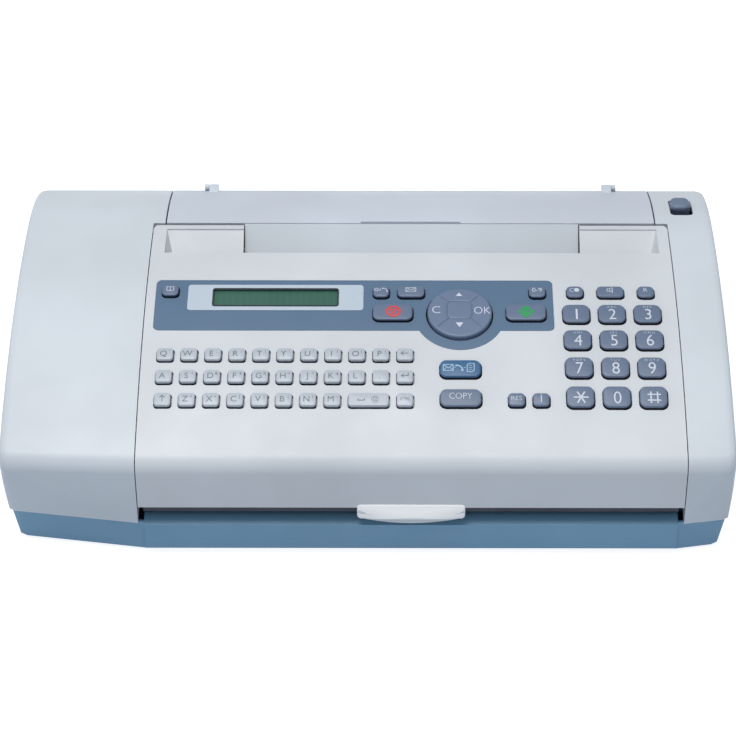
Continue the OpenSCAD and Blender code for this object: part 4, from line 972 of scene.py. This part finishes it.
navigator_signs = [letters("C", 5.8, -14.2, 1.6, -0.012),
                   letters("OK", 5.8, 14.2, 1.2, -0.012, squeeze=0.86),
                   filled([(-2.2, 13.2), (2.2, 13.2), (0, 16.0)]),
                   filled([(-2.3, -8.8), (0, -12.6), (2.3, -8.8)])]
navigator_plan = (*NAVIGATOR, 2 * NAVIGATOR_RADIUS, 2 * NAVIGATOR_RADIUS)
print_legend("legend_navigator", [(navigator_signs, navigator_plan)], "ink_white",
             "navigator", NAVIGATOR_LIFT, 0.0)

# %% [markdown]
# Each letter key shows its letter in grey, with a small accent or sign at its upper right. The
# last column has a backspace arrow, a return arrow and the control key.

# %% Letter legends
ROW_LETTERS = {"top": "QWERTYUIOP", "middle": "ASDFGHJKL.", "bottom": " ZXCVBNM"}
ROW_ACCENTS = {"top": '"-_/|\\!?()', "middle": "'+&$%=*#;:", "bottom": " <>[]{}~"}
LETTER_HEIGHT = 3.9
ACCENT_HEIGHT = 1.9

back_arrow = [ribbon([(2.0, 0.3), (-2.2, 0.3)], 0.5),
              ribbon([(-0.7, 1.7), (-2.3, 0.3), (-0.7, -1.1)], 0.5)]
return_arrow = [ribbon([(2.0, 2.2), (2.0, 0.1), (-2.0, 0.1)], 0.5),
                ribbon([(-0.6, 1.4), (-2.1, 0.1), (-0.6, -1.2)], 0.5)]
shift_arrow = [ribbon([(0, -2.0), (0, 2.2)], 0.5), ribbon([(-1.6, 0.8), (0, 2.4), (1.6, 0.8)], 0.5)]
space_signs = [ribbon([(-6.3, 0.4), (-6.3, -0.9), (-2.5, -0.9), (-2.5, 0.4)], 0.5),
               letters("@", 3.3, 3.9, 0.2, -0.01)]
SPECIAL = {"top": [((10, 1), back_arrow)], "middle": [((10, 1), return_arrow)],
           "bottom": [((0, 1), shift_arrow), ((8.5, 2), space_signs),
                      ((10, 1), [letters("CTRL", 1.7, 0, 0.2, -0.002)])]}
for row, text in ROW_LETTERS.items():
    groups = []
    for column, letter in enumerate(text):
        if letter != " ":
            shapes = [letters(letter, LETTER_HEIGHT, -0.8),
                      letters(ROW_ACCENTS[row][column], ACCENT_HEIGHT, 2.8, 1.6)]
            groups.append((shapes, letter_plan((column, 1), row)))
    groups += [(sign, letter_plan(cell, row)) for cell, sign in SPECIAL[row]]
    print_legend("legend_letters_" + row, groups, "ink_grey", "letter_keys_%s_row" % row)

# %% [markdown]
# Small parts finish the outside. The pull tab under the lid has a face bowed in plan and along
# its lower edge, whiter than the lid as painted light for the light its slope catches. Its front
# is given by y as a function of x and z, so a stack of outlines in the X-Z plane can be laid on
# it. A dark strip behind the lid's edge is painted shadow in the gap over the paper exit, the paper
# lever has a soft cap, and a dark rim frames the display.

# %% Pull tab, painted shadow strip, lever cap and display rim
FRONT_Y = -128 * MM
LID_FOOT = 39 * MM
TAB_MIDDLE = 26 * MM
TAB_WIDTH = 65 * MM
TAB_REACH = 4.5 * MM
TAB_TOP = 41.4 * MM
TAB_LOW = 30.3 * MM
TAB_BOW = 2.4 * MM
TAB_SLOPE_FOOT = 33.5 * MM
TAB_SKIN = 0.9 * MM
TAB_SIDE = -0.4 * MM
TAB_CORNER = 2.2 * MM
TAB_ROUND = 0.9 * MM
TAB_CROWN = 0.5 * MM


def tab_front(x, z):
    """Front of the tab at (x, z): the highest y of its slope, its foot and its bow in plan."""
    bow = TAB_BOW * (2 * (x - TAB_MIDDLE) / TAB_WIDTH) ** 2
    slope = FRONT_Y - TAB_REACH * (LID_FOOT + 2 * MM - z) / (LID_FOOT + 2 * MM - TAB_SLOPE_FOOT)
    return np.maximum(np.maximum(slope, FRONT_Y - TAB_REACH), FRONT_Y - TAB_REACH + bow)


def tab_ring(inset, lift, share=1.0):
    """One outline of the tab's face, drawn in by inset, shrunk by share, lifted off the front."""
    line = rounded_outline(TAB_WIDTH, TAB_TOP - TAB_LOW, TAB_CORNER, inset) * share
    x = TAB_MIDDLE + line[:, 0]
    low = TAB_LOW + TAB_BOW * (2 * line[:, 0] / TAB_WIDTH) ** 2
    z = low + (line[:, 1] / (TAB_TOP - TAB_LOW) + 0.5) * (TAB_TOP - low)
    return np.stack([x, tab_front(x, z) - lift, z], -1)


rings = [tab_ring(0.0, -TAB_SKIN), tab_ring(0.0, TAB_SIDE)]
rings += [tab_ring(inset, TAB_SIDE + rise) for inset, rise in quarter_round(TAB_ROUND, 6)]
for share in (0.85, 0.6, 0.3, 0.06):
    rings.append(tab_ring(TAB_ROUND, TAB_SIDE + TAB_ROUND + TAB_CROWN * (1 - share ** 2), share))
# The tab face is whiter than the lid: painted light for the light its slope catches.
new_piece("pull_tab_face", *ring_stack(rings[::-1]), "tab_white", "lid", 60.0)


def box_rings(low, high):
    """A plain bar as a stack of two rectangles."""
    corners = np.array([(0, 0), (1, 0), (1, 1), (0, 1)])
    flat = low[:2] + corners * (high[:2] - low[:2])
    return np.array([np.column_stack([flat, np.full(4, z)]) for z in (low[2], high[2])])


# A dark strip of painted shadow where the gap over the paper exit lies in shade.
SHADOW_STRIP_CORNERS = np.array([(-135, -127.8, 35.9), (187, -125.9, 39.3)]) * MM
new_piece("painted_shadow_strip", *ring_stack(box_rings(*SHADOW_STRIP_CORNERS)), "key_skirt", "lid", 30.0)

LEVER_SPOT = (200.7 * MM, 88.5 * MM)
LEVER_SIZE = (12.6 * MM, 11.0 * MM, 4.2 * MM)
LEVER_RISE = 1.7
LEVER_ROUND = 1.6
LEVER_CROWN = 0.5
lever = bpy.data.objects["paper_lever"]
lever_top = max((lever.matrix_world @ vert.co).z for vert in lever.data.vertices)

# Inset and height over the lever's top in millimetres, and share of the outline, foot ring first.
profile = [(0.6, -3.0, 1), (0.0, -1.4, 1), (0.0, LEVER_RISE - LEVER_ROUND, 1)]
profile += [(inset, LEVER_RISE - LEVER_ROUND + rise, 1)
            for inset, rise in quarter_round(LEVER_ROUND, 5, 0.3)]
profile += [(LEVER_ROUND, LEVER_RISE + LEVER_CROWN * (1 - share ** 2), share)
            for share in (0.8, 0.5, 0.15)]
rings = []
for inset, height, share in profile:
    line = rounded_outline(*LEVER_SIZE, inset * MM) * share
    rings.append(np.column_stack([line + LEVER_SPOT, np.full(len(line), lever_top + height * MM)]))
new_piece("lever_cap", *ring_stack(rings), "lever_slate", "lever", 60.0)

DISPLAY = (-58 * MM, -6.8 * MM)
WINDOW = (77.6 * MM, 14.6 * MM)
RIM_HALF = 0.45 * MM
RIM_CORNER = 1.3 * MM
RIM_LIFTS = (0.2 * MM, 0.62 * MM)


def loop_tube(rings):
    """Points and faces of rings joined in a closed loop, like a tyre."""
    rings = np.asarray(rings)
    many, count = rings.shape[:2]
    start = np.arange(many) * count
    return rings.reshape(-1, 3), ring_bands(start, np.roll(start, -1), count)


frame_rings = []
for wide, lift in [(RIM_HALF, 0), (RIM_HALF, 1), (-RIM_HALF, 1), (-RIM_HALF, 0)]:
    line = rounded_outline(*WINDOW, RIM_CORNER, -wide)
    frame_rings.append(on_panel(DISPLAY[0] + line[:, 0], up_board(DISPLAY[1]) + line[:, 1],
                                RIM_LIFTS[lift]))
new_piece("display_rim", *loop_tube(frame_rings), "engine_dark", "lid", 30.0)

# %% [markdown]
# Pan-head screws hold the tray from below. A screw head is a disc in polar form, its inner rings
# pressed down along two crossing lines.

# %% Screws
SCREW_RADIUS = 3.2 * MM
SCREW_SEAT = 3.0 * MM
CROSS_DEPTH = 0.9 * MM
CROSS_HALF = 0.75 * MM
SCREW_SPOTS = [(-150, -88), (-150, 92), (26, -96), (26, 98), (165, -88), (165, 92)]
spin = np.linspace(0, 2 * math.pi, 48, endpoint=False)


def screw_ring(radius, drop, pressed=False):
    """One ring of a screw head; where pressed, it sinks along two crossing lines."""
    a, b = radius * np.cos(spin), radius * np.sin(spin)
    depth = np.full(len(spin), drop)
    if pressed:
        arm = np.clip(1 - np.minimum(np.abs(a), np.abs(b)) / CROSS_HALF, 0, 1)
        depth = depth - CROSS_DEPTH * np.minimum(2 * arm, 1) * (radius < 0.62 * SCREW_RADIUS)
    return np.stack([a, -b, SCREW_SEAT - depth], -1)


SCREW_SIDE = 0.3 * MM
SCREW_ROUND = 0.7 * MM
rings = [screw_ring(SCREW_RADIUS, -0.4 * MM), screw_ring(SCREW_RADIUS, SCREW_SIDE)]
rings += [screw_ring(SCREW_RADIUS - inset, SCREW_SIDE + rise)
          for inset, rise in quarter_round(SCREW_ROUND, 4, 0.3)]
for share in (0.72, 0.63, 0.6, 0.45, 0.3, 0.12):
    rings.append(screw_ring(SCREW_RADIUS * share, SCREW_SIDE + SCREW_ROUND, pressed=True))
head, head_faces = ring_stack(rings)
laid = [(head + (x * MM, y * MM, 0), head_faces) for x, y in SCREW_SPOTS]
new_piece("tray_screws", *joined(laid), "sheet_steel", "chassis", 40.0)
print("tray screws:", len(SCREW_SPOTS))

# %% [markdown]
# At the back, the two line sockets and the mains inlet show in cut-outs of the tray. Each gets a
# frame that stands off the block behind it, so its mouth reads as a recess, and the inlet gets
# two contact pins.

# %% Sockets at the back
SOCKET_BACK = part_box("main_board")[1][1]
SOCKETS = [("main_board", -96.0, 12.0, 9.8), ("main_board", -78.0, 12.0, 9.8),
           ("power_supply", -176.0, 25.0, 12.0)]
SOCKET_LIFT = 0.6 * MM
SOCKET_WALL = 1.3 * MM
SOCKET_CORNER = 0.8 * MM
FRAME_DEEP = 1.4 * MM
FRAME_SKIN = 0.2 * MM
PIN_X = (-179.5, -172.5)
PIN_PROFILE = [(1.1, -0.2), (1.1, 0.8), (0.7, 1.2), (0.2, 1.25)]


def upright_ring(middle, wide, tall, back):
    """A rounded rectangle that stands facing the back, at the given place in depth."""
    line = rounded_outline(wide, tall, SOCKET_CORNER)
    return np.stack([middle[0] + line[:, 0], np.full(len(line), back), middle[1] + line[:, 1]], -1)


laid = []
for node, x, wide, tall in SOCKETS:
    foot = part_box(node)[0][2] + BOARD_THICKNESS
    middle = (x * MM, foot + SOCKET_LIFT + tall * MM / 2)
    outer = np.array([wide, tall]) * MM
    inner = outer - 2 * SOCKET_WALL
    rings = [upright_ring(middle, *size, SOCKET_BACK + away) for size, away in
             [(outer, -FRAME_SKIN), (outer, FRAME_DEEP), (inner, FRAME_DEEP), (inner, -FRAME_SKIN)]]
    laid.append(loop_tube(rings[::-1]))
new_piece("socket_frames", *joined(laid), "engine_grey", "chassis", 30.0)

laid = []
for x in PIN_X:
    rings = [np.stack([(x + radius * np.cos(spin)) * MM,
                       np.full(len(spin), SOCKET_BACK + away * MM),
                       middle[1] + radius * MM * np.sin(spin)], -1) for radius, away in PIN_PROFILE]
    laid.append(ring_stack(rings))
new_piece("inlet_pins", *joined(laid), "ground_steel", "chassis", 40.0)

# %% [markdown]
# A plain white table and soft, even light suit a pale machine. A large lamp overhead gives the
# top faces their tone, and weak ones in front and to the left keep the side faces darker. The
# table is grey in itself and glows for the camera, so it looks white and takes only a faint shadow.

# %% Table and light
TABLE_GLOW = 0.85


def white_table(name):
    """Diffuse grey, with a glow for camera, mirror and glass rays alone, so it reads as white."""
    finish = Finish(name)
    cloud = finish.noise(3.0, 2.0)
    camera_ray, glossy_ray, clear_ray = (
        finish.node("ShaderNodeLightPath", output="Is %s Ray" % kind)
        for kind in ("Camera", "Glossy", "Transmission"))
    seen = camera_ray.larger(glossy_ray).larger(clear_ray)
    finish.out(Base_Color=finish.blend(cloud, (0.47, 0.52, 0.6, 1), (0.51, 0.56, 0.63, 1)),
               Roughness=0.9, Emission_Color=(1, 1, 1, 1), Emission_Strength=seen * TABLE_GLOW)
    return finish.material


TABLE_REACH = 6.0
table_mesh = bpy.data.meshes.new("white_table")
corners = np.array([(-1, -1, 0), (1, -1, 0), (1, 1, 0), (-1, 1, 0)]) * TABLE_REACH
table_mesh.from_pydata(corners.tolist(), [], [(0, 1, 2, 3)])
table = bpy.data.objects.new("white_table", table_mesh)
bpy.context.scene.collection.objects.link(table)
table_mesh.materials.append(white_table("table_white"))

world = bpy.data.worlds.new("pale_room")
world.use_nodes = True
bpy.context.scene.world = world
room = world.node_tree
room.nodes.clear()
ray, seen, glow, sky, sky_out = (room.nodes.new("ShaderNode" + kind) for kind in (
    "LightPath", "Math", "MapRange", "Background", "OutputWorld"))
seen.operation = "MAXIMUM"
ROOM_LEVEL = 0.385
sky.inputs["Color"].default_value = (0.88, 0.955, 1.04, 1.0)
glow.inputs["To Min"].default_value = ROOM_LEVEL
glow.inputs["To Max"].default_value = 1.0
for output, socket in [(ray.outputs["Is Camera Ray"], seen.inputs[0]),
                       (ray.outputs["Is Transmission Ray"], seen.inputs[1]),
                       (seen.outputs[0], glow.inputs["Value"]),
                       (glow.outputs["Result"], sky.inputs["Strength"]),
                       (sky.outputs[0], sky_out.inputs["Surface"])]:
    room.links.new(output, socket)


def soft_lamp(name, place, aim, size, power, colour=(1, 1, 1)):
    """A square area lamp at place, turned to look at aim."""
    data = bpy.data.lights.new(name, "AREA")
    data.shape = "SQUARE"
    data.size = size
    data.energy = power
    data.color = colour
    lamp = bpy.data.objects.new(name, data)
    lamp.location = place
    way = np.array(aim) - np.array(place)
    lamp.rotation_euler = (math.acos(-way[2] / np.linalg.norm(way)), 0,
                           math.atan2(way[1], way[0]) - math.pi / 2)
    bpy.context.scene.collection.objects.link(lamp)


soft_lamp("overhead_softbox", (-0.2, -0.1, 2.0), (0, 0, 0.05), 1.0, 27.0, (1.0, 0.972, 0.935))
soft_lamp("front_fill", (-0.6, -1.9, 0.8), (0, 0, 0.05), 1.4, 3.2, (0.86, 0.95, 1.0))
soft_lamp("left_rim", (-1.6, 0.3, 0.9), (0, 0, 0.06), 0.9, 1.5)
